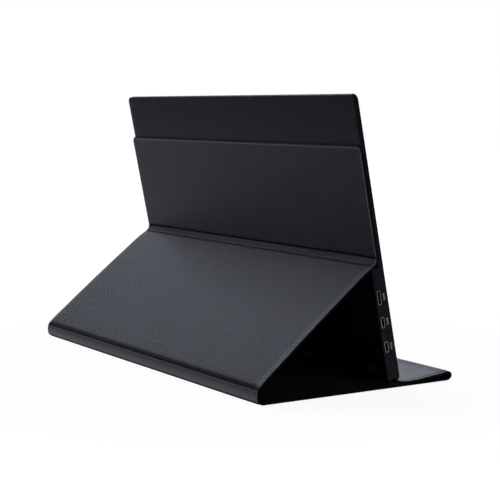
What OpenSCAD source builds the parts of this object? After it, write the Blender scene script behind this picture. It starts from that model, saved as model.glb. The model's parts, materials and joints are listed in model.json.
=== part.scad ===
// A slim 15.6 inch display standing in its folio cover, which folds into a triangular stand.
// Lengths are in millimetres. X runs across the screen, the screen faces -Y, +Z is up,
// and the origin is on the floor under the middle of the stand.

/* [Stand] */
// Depth of the whole stand, from the front loop to the rear spine
stand_depth = 191.5; // [180:0.5:205]
// Lean of the display back from upright, in degrees
tilt = 12; // [8:0.5:16]
// Distance from the front of the cover to the foot of the display
foot_setback = 52.6; // [45:0.1:60]
// Height of the fold, measured up the back of the display
fold_h = 102.9; // [98:0.1:110]
// Turn between the back panel and the narrow fold strip, in degrees
fold_turn = 45; // [35:1:50]
// Lean of the rear spine behind upright, in degrees
spine_lean = 10; // [5:1:15]

/* [Cover] */
// Width of the cover
cover_w = 360; // [359:0.5:368]
// Thickness of the outer leather
skin_t = 0.6; // [0.5:0.05:0.8]
// Thickness of the stiffening boards
board_t = 0.9; // [0.7:0.05:1.2]
// Thickness of the inner lining
lining_t = 0.5; // [0.4:0.05:0.7]
// Thickness of a crease, where no board lies between leather and lining
crease_t = 1.6; // [1.2:0.1:1.8]
// Width of the pressed hem along each free edge
hem_w = 3.5; // [2.5:0.1:4.5]
// Depth that the hem is pressed below the panel's face
hem_drop = 0.35; // [0.2:0.05:0.5]
// Rim of leather that closes a board's pocket beside a crease
crease_rim = 1; // [0.8:0.1:1.5]
// Radius of the cover's free corners
cover_r = 5; // [4:0.5:8]
// Length of the back panel, from its free edge to the fold
back_len = 89.1; // [80:0.1:100]
// Length of the fold strip between its two creases
fold_len = 7; // [6:0.1:8]
// Length of the rear spine between its two creases
spine_len = 12; // [10:0.1:14]
// Height of the front loop between its two creases
loop_h = 6; // [5.5:0.1:8]

/* [Magnets] */
// Length of a bar magnet in the back panel
magnet_l = 42; // [30:1:50]
// Width of a bar magnet in the back panel
magnet_w = 11; // [8:0.5:14]
// Distance from the free edge of the back panel to the magnets' centre line
magnet_y = 20; // [14:0.5:30]
// Distance between neighbouring magnets in the back panel
magnet_pitch = 84; // [70:1:95]
// Length of a bar magnet in the front flap
flap_magnet_l = 20; // [12:1:30]
// Width of a bar magnet in the front flap
flap_magnet_w = 6; // [4:0.5:8]
// Distance between neighbouring magnets in the front flap
flap_magnet_pitch = 130; // [100:1:150]

/* [Display] */
// Width of the display
display_w = 355; // [340:0.5:358]
// Height of the display, along its own face
display_h = 230; // [224:0.5:240]
// Thickness of the lower part, which holds the electronics
thick_t = 12; // [12:0.1:14]
// Height of the thick lower part
thick_h = 94.5; // [92:0.1:95]
// Radius of the display's corners, seen from the front
display_r = 5; // [4:0.5:7]
// Radius along the rear bottom edge, on which the display stands
foot_r = 3; // [2:0.1:4]
// Thickness of the housing's walls
wall_t = 1.2; // [1:0.05:1.4]
// Thickness of the front bezel at its rim
bezel_t = 1.5; // [1.5:0.1:1.8]
// Width of the bezel at each side of the picture
side_bezel = 5.4; // [5.1:0.1:8]
// Height of the bezel above the picture
top_bezel = 6.4; // [5.2:0.1:9]
// Height of the bezel below the picture
chin_h = 30; // [26:0.5:34]

/* [Screen stack] */
// Thickness of the bezel's lip in front of the screen
lip_t = 0.5; // [0.4:0.05:0.6]
// Thickness of the adhesive tape behind the lip
tape_t = 0.2; // [0.1:0.05:0.3]
// Thickness of the liquid crystal cell
cell_t = 0.8; // [0.7:0.05:1]
// Margin of the cell round the picture
cell_edge = 2.5; // [2:0.1:3]
// Depth of the cell's connection ledge below the picture
cell_ledge = 4.5; // [4:0.1:5]
// Thickness of the diffuser and prism sheets
sheets_t = 0.3; // [0.2:0.05:0.4]
// Thickness of the light guide
guide_t = 0.6; // [0.5:0.05:0.8]
// Margin of the light guide round the picture
guide_edge = 1.4; // [1:0.1:1.8]
// Thickness of the reflector sheet
reflector_t = 0.2; // [0.1:0.05:0.3]
// Thickness of the sheet-metal tray behind the light guide
tray_t = 0.3; // [0.2:0.05:0.4]
// Thickness of the steel plate that the cover's magnets hold
plate_t = 0.4; // [0.3:0.05:0.6]
// Distance of the steel plate in from each side of the display
plate_in = 22.5; // [15:0.5:30]
// Height of the steel plate
plate_h = 76; // [70:1:80]
// Number of light-emitting diodes along the bottom of the light guide
led_count = 36; // [24:1:48]
// Height of the diode strip
led_h = 1.4; // [1.2:0.1:1.5]

/* [Boards and sockets] */
// Thickness of the circuit boards
pcb_t = 1; // [0.8:0.1:1.2]
// Distance of the boards' component side behind the front face
pcb_back = 6.67; // [6.5:0.01:6.8]
// Width of the main board
main_w = 86; // [80:1:95]
// Height of the main board
main_h = 64; // [62:0.5:64.5]
// Height of the lowest socket's centre above the foot
port_h = 30.7; // [29:0.1:31.5]
// Distance between neighbouring sockets
port_pitch = 20.1; // [18:0.1:20.5]
// Long side of a type C socket
type_c_w = 8.94; // [8.5:0.01:9.2]
// Short side of a type C socket
type_c_h = 3.26; // [3:0.01:3.4]
// Depth of a type C socket
type_c_depth = 7.4; // [7:0.1:8]
// Long side of the mini video socket
video_w = 11.2; // [11:0.1:11.6]
// Short side of the mini video socket
video_h = 3.2; // [3:0.05:3.4]
// Depth of the mini video socket
video_depth = 7.8; // [7:0.1:8.5]
// Wall of the sockets' metal shells
shell_t = 0.3; // [0.25:0.05:0.4]
// Thickness of the tongue inside a socket
tongue_t = 0.7; // [0.6:0.05:0.8]
// Gap between a socket and its opening in the housing
port_gap = 0.2; // [0.1:0.05:0.3]
// Bore of the headphone jack
jack_d = 3.56; // [3.54:0.01:3.6]
// Depth of the headphone jack's bore
jack_depth = 12; // [11:0.5:13]
// Height of the headphone jack above the foot
jack_h = 34; // [32:0.5:36]
// Width of the button board
button_board_w = 24; // [22:0.5:28]

/* [Buttons] */
// Heights of the buttons above the foot: power, plus and minus
button_h = [76, 61, 50];
// Length of a button
button_l = 8; // [7:0.1:9]
// Width of a button
button_w = 3; // [2.6:0.1:3.2]
// Distance that a button stands out of the housing
button_proud = 0.8; // [0.7:0.05:1]
// Travel of a button
button_travel = 0.6; // [0.4:0.05:0.65]
// Gap between a button and its opening
button_gap = 0.15; // [0.1:0.05:0.2]
// Diameter of the status light's lens
lens_d = 1.6; // [1.2:0.1:2]

/* [Speakers and screws] */
// Length of a speaker
speaker_l = 40; // [34:1:44]
// Height of a speaker
speaker_h = 17; // [15:0.5:18]
// Thickness of a speaker
speaker_t = 4.2; // [3.5:0.1:5]
// Distance of a speaker's centre in from the side of the display
speaker_in = 65.5; // [58:0.5:75]
// Sound slots behind each speaker
slot_count = 9; // [5:1:9]
// Distance between neighbouring sound slots
slot_pitch = 3; // [2.5:0.1:3.5]
// Distance of the outer housing screws in from the sides of the display
screw_in = 13.5; // [9:0.5:16]
// Distance of the inner housing screws from the middle of the display
screw_mid = 62; // [50:1:70]
// Radius of a housing screw's shank
screw_r = 0.9; // [0.8:0.05:1]
// Radius of a housing screw's head
screw_head_r = 1.8; // [1.6:0.05:2]
// Height of a screw's head
screw_head_h = 0.6; // [0.5:0.05:0.7]
// Length of a housing screw's shank
screw_l = 7; // [6:0.5:8]
// Radius of a board screw's shank
board_screw_r = 0.7; // [0.6:0.05:0.8]
// Length of a board screw's shank
board_screw_l = 4.2; // [3.5:0.1:4.5]

/* [Hidden] */
$fn = 48;

// Clearances: a loose fit beside a crease, under the foot, and between fixed inner pieces
crease_gap = 0.3;
foot_gap = 0.3;
flap_rest_gap = 0.15;
flap_tip_gap = 0.5;
fit = 0.1;
eps = 0.01;

// Layers of the cover, measured from its middle plane, with the lining below and the leather above
cover_t = skin_t + board_t + lining_t;
half_t = cover_t / 2;
lining_top = lining_t - half_t;
board_top = lining_top + board_t;
crease_r = crease_t / 2;
spine_r = half_t;
crease_end = crease_r + crease_gap;
spine_end = spine_r + crease_gap;

// Depths in the display, measured back from its front face
cell_front = lip_t + tape_t;
cell_back = cell_front + cell_t;
sheets_back = cell_back + sheets_t;
guide_back = sheets_back + guide_t;
reflector_back = guide_back + reflector_t;
tray_back = reflector_back + tray_t;
plate_back = tray_back + plate_t;
thin_t = plate_back + wall_t;
thick_inner = thick_t - wall_t;
pcb_front = pcb_back - pcb_t;
port_depth = pcb_back + type_c_h / 2;

// Places across and up the display
side_x = display_w / 2;
inner_x = side_x - wall_t;
active_w = display_w - 2 * side_bezel;
active_h = display_h - chin_h - top_bezel;
active_top = chin_h + active_h;
cell_bottom = chin_h - cell_ledge;
cell_top = active_top + cell_edge;
cell_w = active_w + 2 * cell_edge;
guide_w = active_w + 2 * guide_edge;
guide_bottom = chin_h - 1;
guide_top = active_top + guide_edge;
led_bottom = guide_bottom - led_h;
plate_w = display_w - 2 * plate_in;
plate_bottom = cell_top - 1 - plate_h;

// Crease axes as points in (y, z), named from the top of the cover to the tip of its flap
foot_y = foot_setback - stand_depth / 2;
foot_z = cover_t + foot_gap + foot_r + (thick_t - foot_r) * sin(tilt) - foot_r * cos(tilt);
function on_display(depth, up) =
    [foot_y + up * sin(tilt) + depth * cos(tilt), foot_z + up * cos(tilt) - depth * sin(tilt)];
function heading(from, to) = atan2(to[1] - from[1], to[0] - from[0]);
function step(from, angle, length) = from + length * [cos(angle), sin(angle)];
back_angle = 270 - tilt;
fold_angle = back_angle + fold_turn;
spine_angle = 270 - spine_lean;
fold_top = on_display(thin_t + half_t, fold_h);
back_edge = step(fold_top, back_angle, -back_len);
fold_low = step(fold_top, fold_angle, fold_len);
spine_low = [stand_depth / 2 - spine_r - spine_len * sin(spine_lean), half_t];
spine_top = step(spine_low, spine_angle, -spine_len);
loop_low = [crease_r - stand_depth / 2, half_t];
loop_top = loop_low + [0, loop_h];
flap_tip = [foot_y - flap_tip_gap, cover_t + flap_rest_gap + half_t];
prop_angle = heading(fold_low, spine_top);
prop_len = norm(spine_top - fold_low);
base_len = spine_low[0] - loop_low[0];
flap_angle = heading(loop_top, flap_tip);
flap_len = norm(flap_tip - loop_top);

// Boards and what stands on them
main_left = -inner_x + 0.5;
main_bottom = 24;
button_board_right = inner_x - 2.1;
button_board_left = button_board_right - button_board_w;
button_board_bottom = 29;
button_board_h = 61;
button_board_top = button_board_bottom + button_board_h;
switch_l = 3;
switch_h = 6;
plunger_r = 0.7;
plunger_l = 0.2;
flange_t = 0.7;
flange_gap = 0.05;
flange_edge = 0.8;
button_rod_r = 0.8;
switch_front = button_board_right;
flange_outer = inner_x - flange_gap;
rod_tip = switch_front + plunger_l + button_travel + 0.05;
jack_body = [11, 3.8, 6.6];
jack_collar_r = 2.7;
jack_axis = pcb_back + jack_body[1] / 2;
lens_h = button_h[0] + 8;
driver_in = 67.5;
driver_w = display_w - 2 * driver_in;
driver_h = 14;
driver_bottom = cell_bottom + 2;
driver_t = 0.8;
flex_t = 0.15;
flex_w = 16;
boss_r = 2.2;
screw_boss_r = 2.6;
screw_up = 12;
outer_screw = side_x - screw_in;
screw_x = [-outer_screw, -screw_mid, screw_mid, outer_screw];
speaker_x = side_x - speaker_in;
speaker_gap = 0.8;
board_hole_in = 3.5;
port_clear = 16;
jack_clear = 16.5;
lead_r = 0.5;
lead_up = 22.6;
lead_in = 8;
lead_clear = 2;
lead_landing = 10;
lead_rise = 8;
short_lead_rise = 3;
cable_w = 8;
cable_up = 50;
cable_in = 6;
cable_landing = 4;
flex_landing = 12;
flex_rise = 4;

// Places of the board screws, in the display's (x, up)
main_screws = [
    for (x = [main_left + port_clear, main_left + main_w - board_hole_in])
        for (z = [main_bottom + board_hole_in, main_bottom + main_h - board_hole_in]) [x, z]
];
button_screws = [
    for (z = [button_board_bottom + jack_clear, button_board_top - board_hole_in])
        [button_board_left + board_hole_in, z]
];
board_screw_places = concat(main_screws, button_screws);

// Chips, coils and plugs of the main board: each is x, up, width, height, thickness
chips = [
    [24, 22, 14, 14, 1.4], [46, 26, 10, 10, 1.2], [62, 18, 7, 7, 2.6],
    [62, 30, 7, 7, 2.6], [26, 44, 8, 6, 1.2], [46, 46, 12, 8, 1.4], [70, 44, 5, 12, 3]
];

// Heights of the sockets above the foot
usb_lower_h = port_h;
usb_upper_h = port_h + port_pitch;
video_up = port_h + 2 * port_pitch;

// Colours, by what each piece is made of
leather = [0.16, 0.17, 0.19];
lining_colour = [0.05, 0.05, 0.06];
board_colour = [0.45, 0.42, 0.38];
housing_colour = [0.10, 0.12, 0.14];
bezel_colour = [0.04, 0.04, 0.05];
steel = [0.62, 0.63, 0.65];
copper = [0.55, 0.38, 0.25];
pcb_colour = [0.07, 0.25, 0.15];
flex_colour = [0.70, 0.45, 0.15];

// Places children that are drawn along a cover panel: Y runs along it, Z is its outer side
module on_panel(start, angle) {
    translate([0, start[0], start[1]]) rotate([angle, 0, 0]) children();
}

// Places children that are drawn on the display: Y runs back from its face, Z runs up it
module on_screen() {
    translate([0, foot_y, foot_z]) rotate([-tilt, 0, 0]) children();
}

// Extrudes a (depth, up) shape along X, from x0 to x1
module along_x(x0, x1) {
    translate([x0, 0, 0]) rotate([90, 0, 90]) linear_extrude(x1 - x0) children();
}

// Extrudes an (x, up) shape through the display, from depth y0 to y1
module along_y(y0, y1) {
    translate([0, y1, 0]) rotate([90, 0, 0]) linear_extrude(y1 - y0) children();
}

// Outline of width w between y0 and y1, with corner radius r0 at y0 and r1 at y1
module outline(w, y0, y1, r0 = 0, r1 = 0) {
    translate([-w / 2, y0 + r0]) square([w, y1 - y0 - r0 - r1]);
    if (r0 > 0) {
        translate([r0 - w / 2, y0]) square([w - 2 * r0, (y1 - y0) / 2]);
        for (side = [-1, 1]) translate([side * (w / 2 - r0), y0 + r0]) circle(r0);
    }
    if (r1 > 0) {
        translate([r1 - w / 2, (y0 + y1) / 2]) square([w - 2 * r1, (y1 - y0) / 2]);
        for (side = [-1, 1]) translate([side * (w / 2 - r1), y1 - r1]) circle(r1);
    }
}

// Plate in a panel's frame, with the outline above, between z0 and z1
module plate(w, y0, y1, z0, z1, r0 = 0, r1 = 0) {
    translate([0, 0, z0]) linear_extrude(z1 - z0) outline(w, y0, y1, r0, r1);
}

// Corner radius of a layer that lies in from a panel's edge
function inset_r(r, in) = r > in + 1 ? r - in : r > 0 ? 1 : 0;

// Stiffening board of a panel: hem0 and hem1 are the leather's margins at its two ends
module panel_board(y0, y1, hem0, hem1, r0 = 0, r1 = 0, bottom = lining_top) {
    plate(cover_w - 2 * hem_w, y0 + hem0, y1 - hem1, bottom, board_top,
        inset_r(r0, hem_w), inset_r(r1, hem_w));
}

// Outer leather of a panel, raised over its board and pressed down to a hem round it
module panel_skin(y0, y1, hem0, hem1, r0 = 0, r1 = 0) {
    difference() {
        union() {
            plate(cover_w, y0, y1, lining_top, half_t - hem_drop, r0, r1);
            plate(cover_w - 2 * (hem_w - skin_t), y0 + hem0 - skin_t, y1 - hem1 + skin_t,
                lining_top, half_t, inset_r(r0, hem_w - skin_t), inset_r(r1, hem_w - skin_t));
        }
        panel_board(y0, y1, hem0, hem1, r0, r1, lining_top - eps);
    }
}

// Lining of a panel, on its inner side
module panel_lining(y0, y1, r0 = 0, r1 = 0) {
    plate(cover_w, y0, y1, -half_t, lining_top, r0, r1);
}

// Narrow strip between two creases, rounded about both crease axes
module crease_strip(length, r) {
    along_x(-cover_w / 2, cover_w / 2) {
        translate([0, -r]) square([length, 2 * r]);
        circle(r);
        translate([length, 0]) circle(r);
    }
}

// Row of bar magnets centred at distance y along a panel
module magnets(count, pitch, l, w, y) {
    for (i = [0 : count - 1])
        translate([(i - (count - 1) / 2) * pitch - l / 2, y - w / 2, lining_top]) cube([l, w, board_t]);
}

module back_magnets() {
    magnets(4, magnet_pitch, magnet_l, magnet_w, magnet_y);
}

module tip_magnets() {
    magnets(3, flap_magnet_pitch, flap_magnet_l, flap_magnet_w, flap_len - hem_w - flap_magnet_w);
}

module back_panel_skin() {
    color(leather) on_panel(back_edge, back_angle)
        panel_skin(0, back_len - crease_end, hem_w, crease_rim, cover_r, 0);
}

module back_panel_board() {
    color(board_colour) on_panel(back_edge, back_angle) difference() {
        panel_board(0, back_len - crease_end, hem_w, crease_rim, cover_r, 0);
        back_magnets();
    }
}

module back_panel_lining() {
    color(lining_colour) on_panel(back_edge, back_angle)
        panel_lining(0, back_len - crease_end, cover_r, 0);
}

module cover_magnets() {
    color(steel) on_panel(back_edge, back_angle) back_magnets();
}

module fold_strip() {
    color(leather) on_panel(fold_top, fold_angle) crease_strip(fold_len, crease_r);
}

module prop_skin() {
    color(leather) on_panel(fold_low, prop_angle)
        panel_skin(crease_end, prop_len - spine_end, crease_rim, crease_rim);
}

module prop_board() {
    color(board_colour) on_panel(fold_low, prop_angle)
        panel_board(crease_end, prop_len - spine_end, crease_rim, crease_rim);
}

module prop_lining() {
    color(lining_colour) on_panel(fold_low, prop_angle)
        panel_lining(crease_end, prop_len - spine_end);
}

// Space in the rear spine for its board and lining, between z0 and z1
module spine_pocket(z0, z1) {
    plate(cover_w - 2 * hem_w, crease_rim, spine_len - crease_rim, z0, z1);
}

module rear_spine_skin() {
    color(leather) on_panel(spine_top, spine_angle) difference() {
        crease_strip(spine_len, spine_r);
        spine_pocket(-half_t - eps, board_top);
    }
}

module rear_spine_board() {
    color(board_colour) on_panel(spine_top, spine_angle) spine_pocket(lining_top, board_top);
}

module rear_spine_lining() {
    color(lining_colour) on_panel(spine_top, spine_angle) spine_pocket(-half_t, lining_top);
}

module base_skin() {
    color(leather) on_panel(spine_low, 180)
        panel_skin(spine_end, base_len - crease_end, crease_rim, crease_rim);
}

module base_board() {
    color(board_colour) on_panel(spine_low, 180)
        panel_board(spine_end, base_len - crease_end, crease_rim, crease_rim);
}

module base_lining() {
    color(lining_colour) on_panel(spine_low, 180)
        panel_lining(spine_end, base_len - crease_end);
}

module front_strip() {
    color(leather) on_panel(loop_low, 90) crease_strip(loop_h, crease_r);
}

module flap_skin() {
    color(leather) on_panel(loop_top, flap_angle)
        panel_skin(crease_end, flap_len, crease_rim, hem_w, 0, cover_r);
}

module flap_board() {
    color(board_colour) on_panel(loop_top, flap_angle) difference() {
        panel_board(crease_end, flap_len, crease_rim, hem_w, 0, cover_r);
        tip_magnets();
    }
}

module flap_lining() {
    color(lining_colour) on_panel(loop_top, flap_angle)
        panel_lining(crease_end, flap_len, 0, cover_r);
}

module flap_magnets() {
    color(steel) on_panel(loop_top, flap_angle) tip_magnets();
}

// Upright rectangle in the display's (x, up), of width w between heights z0 and z1
module upright(w, z0, z1) {
    translate([-w / 2, z0]) square([w, z1 - z0]);
}

// Flat-sided ring between two upright rectangles, from depth y0 to y1
module ring(y0, y1, w, z0, z1, inner_w, inner_z0, inner_z1) {
    along_y(y0, y1) difference() {
        upright(w, z0, z1);
        upright(inner_w, inner_z0, inner_z1);
    }
}

module front_bezel() {
    rib_in = 1;
    color(bezel_colour) on_screen() difference() {
        union() {
            along_y(0, bezel_t) outline(display_w, 0, display_h, display_r, display_r);
            along_y(bezel_t - eps, tray_back) difference() {
                upright(2 * (inner_x - fit), wall_t + fit, display_h - wall_t - fit);
                upright(2 * (inner_x - fit - rib_in), wall_t + fit + rib_in,
                    display_h - wall_t - fit - rib_in);
                corner_reliefs();
            }
            for (x = screw_x) screw_post(x);
        }
        along_y(-1, lip_t + 1) upright(active_w + 2 * fit, chin_h - fit, active_top + fit);
        along_y(lip_t, bezel_t + 1)
            upright(cell_w + 2 * fit, cell_bottom - fit, cell_top + fit);
        for (x = screw_x)
            translate([x, bezel_t, screw_up]) rotate([-90, 0, 0]) cylinder(r = screw_r, h = thick_t);
    }
}

// Keeps the bezel's locating rib out of the housing's round corners
module corner_reliefs() {
    for (x = [-1, 1])
        for (z = [wall_t, display_h - wall_t])
            translate([x * inner_x, z]) circle(display_r);
}

// Post behind the bezel that takes one housing screw
module screw_post(x) {
    translate([x, bezel_t - eps, screw_up]) rotate([-90, 0, 0])
        cylinder(r = screw_boss_r, h = thick_inner - bezel_t + eps);
}

// Outer shape of the display behind its bezel: thin above, thick below with a rounded foot
module housing_shape() {
    intersection() {
        along_x(-side_x, side_x) {
            translate([bezel_t, 0]) square([thin_t - bezel_t, display_h]);
            translate([bezel_t, 0]) square([thick_t - foot_r - bezel_t, thick_h]);
            translate([bezel_t, foot_r]) square([thick_t - bezel_t, thick_h - foot_r]);
            translate([thick_t - foot_r, foot_r]) circle(foot_r);
        }
        along_y(0, thick_t) outline(display_w, 0, display_h, display_r, display_r);
    }
}

// Hollow of the housing, one wall in from its outer shape
module housing_hollow() {
    r = display_r - wall_t;
    foot_in = foot_r - wall_t;
    along_y(bezel_t - 1, plate_back) outline(2 * inner_x, wall_t, display_h - wall_t, r, r);
    intersection() {
        along_x(-inner_x, inner_x) {
            translate([bezel_t - 1, wall_t]) square([thick_t - foot_r - bezel_t + 1, thick_h - 2 * wall_t]);
            translate([bezel_t - 1, foot_r]) square([thick_inner - bezel_t + 1, thick_h - foot_r - wall_t]);
            translate([thick_t - foot_r, foot_r]) circle(foot_in);
        }
        along_y(0, thick_t) outline(2 * inner_x, wall_t, display_h, r, 0);
    }
}

// Hole along X that is as long as l up the display and as wide as w through it
module slot_x(x0, x1, depth, up, l, w) {
    along_x(x0, x1) translate([depth, up]) slot_shape(l, w);
}

// Round-ended slot standing upright
module slot_shape(l, w) {
    translate([-w / 2, (w - l) / 2]) square([w, l - w]);
    for (side = [-1, 1]) translate([0, side * (l - w) / 2]) circle(w / 2);
}

// Outline of the mini video socket: a bar whose front edge is narrowed by two slopes
module video_shape(grow) {
    l = video_w / 2 + grow;
    h = video_h / 2 + grow;
    cut = 1.1;
    polygon([[-h, -l + cut], [-h, l - cut], [-h + cut, l], [h, l], [h, -l], [-h + cut, -l]]);
}

// Boss inside the housing that carries a circuit board
module board_boss(place) {
    translate([place[0], pcb_back, place[1]]) rotate([-90, 0, 0])
        cylinder(r = boss_r, h = thick_inner - pcb_back + eps);
}

// Sound slots through the rear wall, behind one speaker
module sound_slots(x) {
    slot_l = 9;
    slot_w = 1.2;
    along_y(thick_inner - eps, thick_t + 1)
        for (i = [0 : slot_count - 1])
            translate([x + (i - (slot_count - 1) / 2) * slot_pitch, foot_r + speaker_h / 2])
                slot_shape(slot_l, slot_w);
}

module rear_housing() {
    color(housing_colour) on_screen() difference() {
        union() {
            difference() {
                housing_shape();
                housing_hollow();
            }
            for (place = board_screw_places) board_boss(place);
        }
        for (place = board_screw_places)
            translate([place[0], pcb_back - 1, place[1]]) rotate([-90, 0, 0])
                cylinder(r = board_screw_r, h = board_screw_l - pcb_t + 1.5);
        for (up = [usb_lower_h, usb_upper_h])
            slot_x(-side_x - 1, -inner_x + 1, port_depth, up,
                type_c_w + 2 * port_gap, type_c_h + 2 * port_gap);
        along_x(-side_x - 1, -inner_x + 1) translate([port_depth, video_up]) video_shape(port_gap);
        for (up = button_h)
            slot_x(inner_x - 1, side_x + 1, port_depth, up,
                button_l + 2 * button_gap, button_w + 2 * button_gap);
        translate([inner_x - 1, jack_axis, jack_h]) rotate([0, 90, 0])
            cylinder(r = jack_collar_r + fit, h = wall_t + 2);
        translate([inner_x - 1, port_depth, lens_h]) rotate([0, 90, 0])
            cylinder(r = lens_d / 2 + fit, h = wall_t + 2);
        for (x = [-speaker_x, speaker_x]) sound_slots(x);
        for (x = screw_x) translate([x, thick_inner - 1, screw_up]) rotate([-90, 0, 0]) {
            cylinder(r = screw_r + fit, h = wall_t + 2);
            translate([0, 0, 1 + wall_t - screw_head_h]) cylinder(r = screw_head_r + fit, h = 2);
        }
    }
}

module bezel_tape() {
    color(bezel_colour) on_screen()
        ring(lip_t, cell_front, cell_w, cell_bottom, cell_top,
            active_w + 2 * fit, chin_h - fit, active_top + fit);
}

module lcd_panel() {
    color([0.02, 0.02, 0.03]) on_screen()
        along_y(cell_front, cell_back) upright(cell_w, cell_bottom, cell_top);
}

module optical_sheets() {
    color([0.92, 0.92, 0.90]) on_screen()
        along_y(cell_back, sheets_back) upright(guide_w, guide_bottom, guide_top);
}

module light_guide() {
    color([0.80, 0.88, 0.90]) on_screen()
        along_y(sheets_back, guide_back) upright(guide_w, guide_bottom, guide_top);
}

module reflector_sheet() {
    color([0.95, 0.95, 0.95]) on_screen()
        along_y(guide_back, reflector_back) upright(guide_w, guide_bottom, guide_top);
}

// Strip of light-emitting diodes that shines up into the bottom of the light guide
module led_strip() {
    strip_h = led_h / 2;
    led_w = 3;
    pitch = guide_w / led_count;
    color([0.95, 0.93, 0.75]) on_screen() along_y(sheets_back, guide_back) {
        upright(guide_w, led_bottom, led_bottom + strip_h);
        for (i = [0 : led_count - 1])
            translate([(i + 0.5) * pitch - guide_w / 2 - led_w / 2, led_bottom])
                square([led_w, led_h]);
    }
}

module panel_frame() {
    color([0.90, 0.90, 0.88]) on_screen()
        ring(cell_back, reflector_back, cell_w, cell_bottom, cell_top,
            guide_w, led_bottom, guide_top);
}

module panel_tray() {
    color(steel) on_screen()
        along_y(reflector_back, tray_back) upright(cell_w, cell_bottom, cell_top);
}

module panel_driver_board() {
    color(pcb_colour) on_screen() along_y(tray_back, tray_back + driver_t)
        upright(driver_w, driver_bottom, driver_bottom + driver_h);
}

module magnet_plate() {
    color(steel) on_screen()
        along_y(tray_back, plate_back) upright(plate_w, plate_bottom, plate_bottom + plate_h);
}

// Circuit board between x0 and x1, with a hole at each of the places
module board(x0, x1, z0, z1, places) {
    color(pcb_colour) on_screen() difference() {
        translate([x0, pcb_front, z0]) cube([x1 - x0, pcb_t, z1 - z0]);
        for (place = places)
            translate([place[0], pcb_front - 1, place[1]]) rotate([-90, 0, 0])
                cylinder(r = board_screw_r + fit, h = pcb_t + 2);
    }
}

module main_board() {
    board(main_left, main_left + main_w, main_bottom, main_bottom + main_h, main_screws);
}

// Chips, coils and plugs on the back of the main board
module main_board_chips() {
    color([0.12, 0.12, 0.13]) on_screen()
        for (c = chips)
            translate([main_left + c[0], pcb_back, main_bottom + c[1]]) cube([c[2], c[4], c[3]]);
}

// Metal shell of a socket that opens at the display's left side: outer and inner are its outlines
module socket_shell(up, depth_x) {
    front = -side_x + 0.1;
    on_screen() difference() {
        along_x(front, front + depth_x) translate([port_depth, up]) children(0);
        along_x(front - 1, front + depth_x - shell_t) translate([port_depth, up]) children(1);
    }
}

module mini_hdmi_socket() {
    color(copper) socket_shell(video_up, video_depth) {
        video_shape(0);
        video_shape(-shell_t);
    }
}

// Plastic tongue inside a socket, of length l across it
module tongue(up, depth_x, l) {
    back = -side_x + 0.1 + depth_x - shell_t;
    on_screen() translate([back - depth_x * 0.75, port_depth - tongue_t / 2, up - l / 2])
        cube([depth_x * 0.75, tongue_t, l]);
}

module mini_hdmi_tongue() {
    color(bezel_colour) tongue(video_up, video_depth, video_w - 3.4);
}

module usb_c_shell(up) {
    color(steel) socket_shell(up, type_c_depth) {
        slot_shape(type_c_w, type_c_h);
        slot_shape(type_c_w - 2 * shell_t, type_c_h - 2 * shell_t);
    }
}

module usb_c_socket_upper() {
    usb_c_shell(usb_upper_h);
}

module usb_c_socket_lower() {
    usb_c_shell(usb_lower_h);
}

module usb_c_tongues() {
    color(bezel_colour) for (up = [usb_lower_h, usb_upper_h])
        tongue(up, type_c_depth, type_c_w - 2.2);
}

// Flat flexible cable from the main board to the driver board of the screen
module display_cable() {
    left = -driver_w / 2 + 1;
    turn = driver_bottom + driver_h + flex_rise;
    low = tray_back + driver_t;
    color(flex_colour) on_screen() {
        translate([left, low, turn - flex_landing])
            cube([flex_w, flex_t, flex_landing]);
        translate([left, low, turn - flex_t]) cube([flex_w, pcb_front - low, flex_t]);
        translate([left, pcb_front - flex_t, turn - flex_t])
            cube([flex_w, flex_t, flex_landing]);
    }
}

module button_board() {
    board(button_board_left, button_board_right, button_board_bottom, button_board_top,
        button_screws);
}

// Three push switches that stand on the edge of the button board
module tact_switches() {
    body_t = 3.2;
    color([0.10, 0.10, 0.11]) on_screen() for (up = button_h) {
        translate([switch_front - switch_l, pcb_back, up - switch_h / 2])
            cube([switch_l, body_t, switch_h]);
        translate([switch_front - eps, port_depth, up]) rotate([0, 90, 0])
            cylinder(r = plunger_r, h = plunger_l + eps);
    }
}

module audio_jack() {
    mouth = side_x - 0.1;
    body_x = inner_x - 0.4;
    color([0.14, 0.14, 0.15]) on_screen() difference() {
        union() {
            translate([body_x - jack_body[0], pcb_back, jack_h - jack_body[2] / 2])
                cube(jack_body);
            translate([body_x - jack_body[0] / 2, jack_axis, jack_h]) rotate([0, 90, 0])
                cylinder(r = jack_body[1] / 2, h = mouth - body_x + jack_body[0] / 2);
            translate([inner_x - 0.3, jack_axis, jack_h]) rotate([0, 90, 0])
                cylinder(r = jack_collar_r, h = mouth - inner_x + 0.3);
        }
        translate([mouth - jack_depth, jack_axis, jack_h]) rotate([0, 90, 0])
            cylinder(d = jack_d, h = jack_depth + 1);
    }
}

// Flat flexible cable across the back of the housing, from the button board to the main board
module button_cable() {
    left = main_left + main_w - cable_in;
    right = button_board_left + cable_in + 2;
    back = thick_inner - fit / 2;
    color(flex_colour) on_screen() translate([0, 0, cable_up]) {
        translate([left, back - flex_t, 0]) cube([right - left, flex_t, cable_w]);
        for (x = [left, right - flex_t])
            translate([x, pcb_back, 0]) cube([flex_t, back - pcb_back, cable_w]);
        for (x = [left - cable_landing, right - flex_t])
            translate([x, pcb_back, 0]) cube([cable_landing + flex_t, flex_t, cable_w]);
    }
}

module status_lens() {
    color([0.75, 0.85, 0.95]) on_screen() translate([inner_x - 1, port_depth, lens_h])
        rotate([0, 90, 0]) {
            cylinder(d = lens_d, h = wall_t + 1);
            cylinder(d = lens_d + 1, h = 1 - flange_gap);
        }
}

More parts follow.
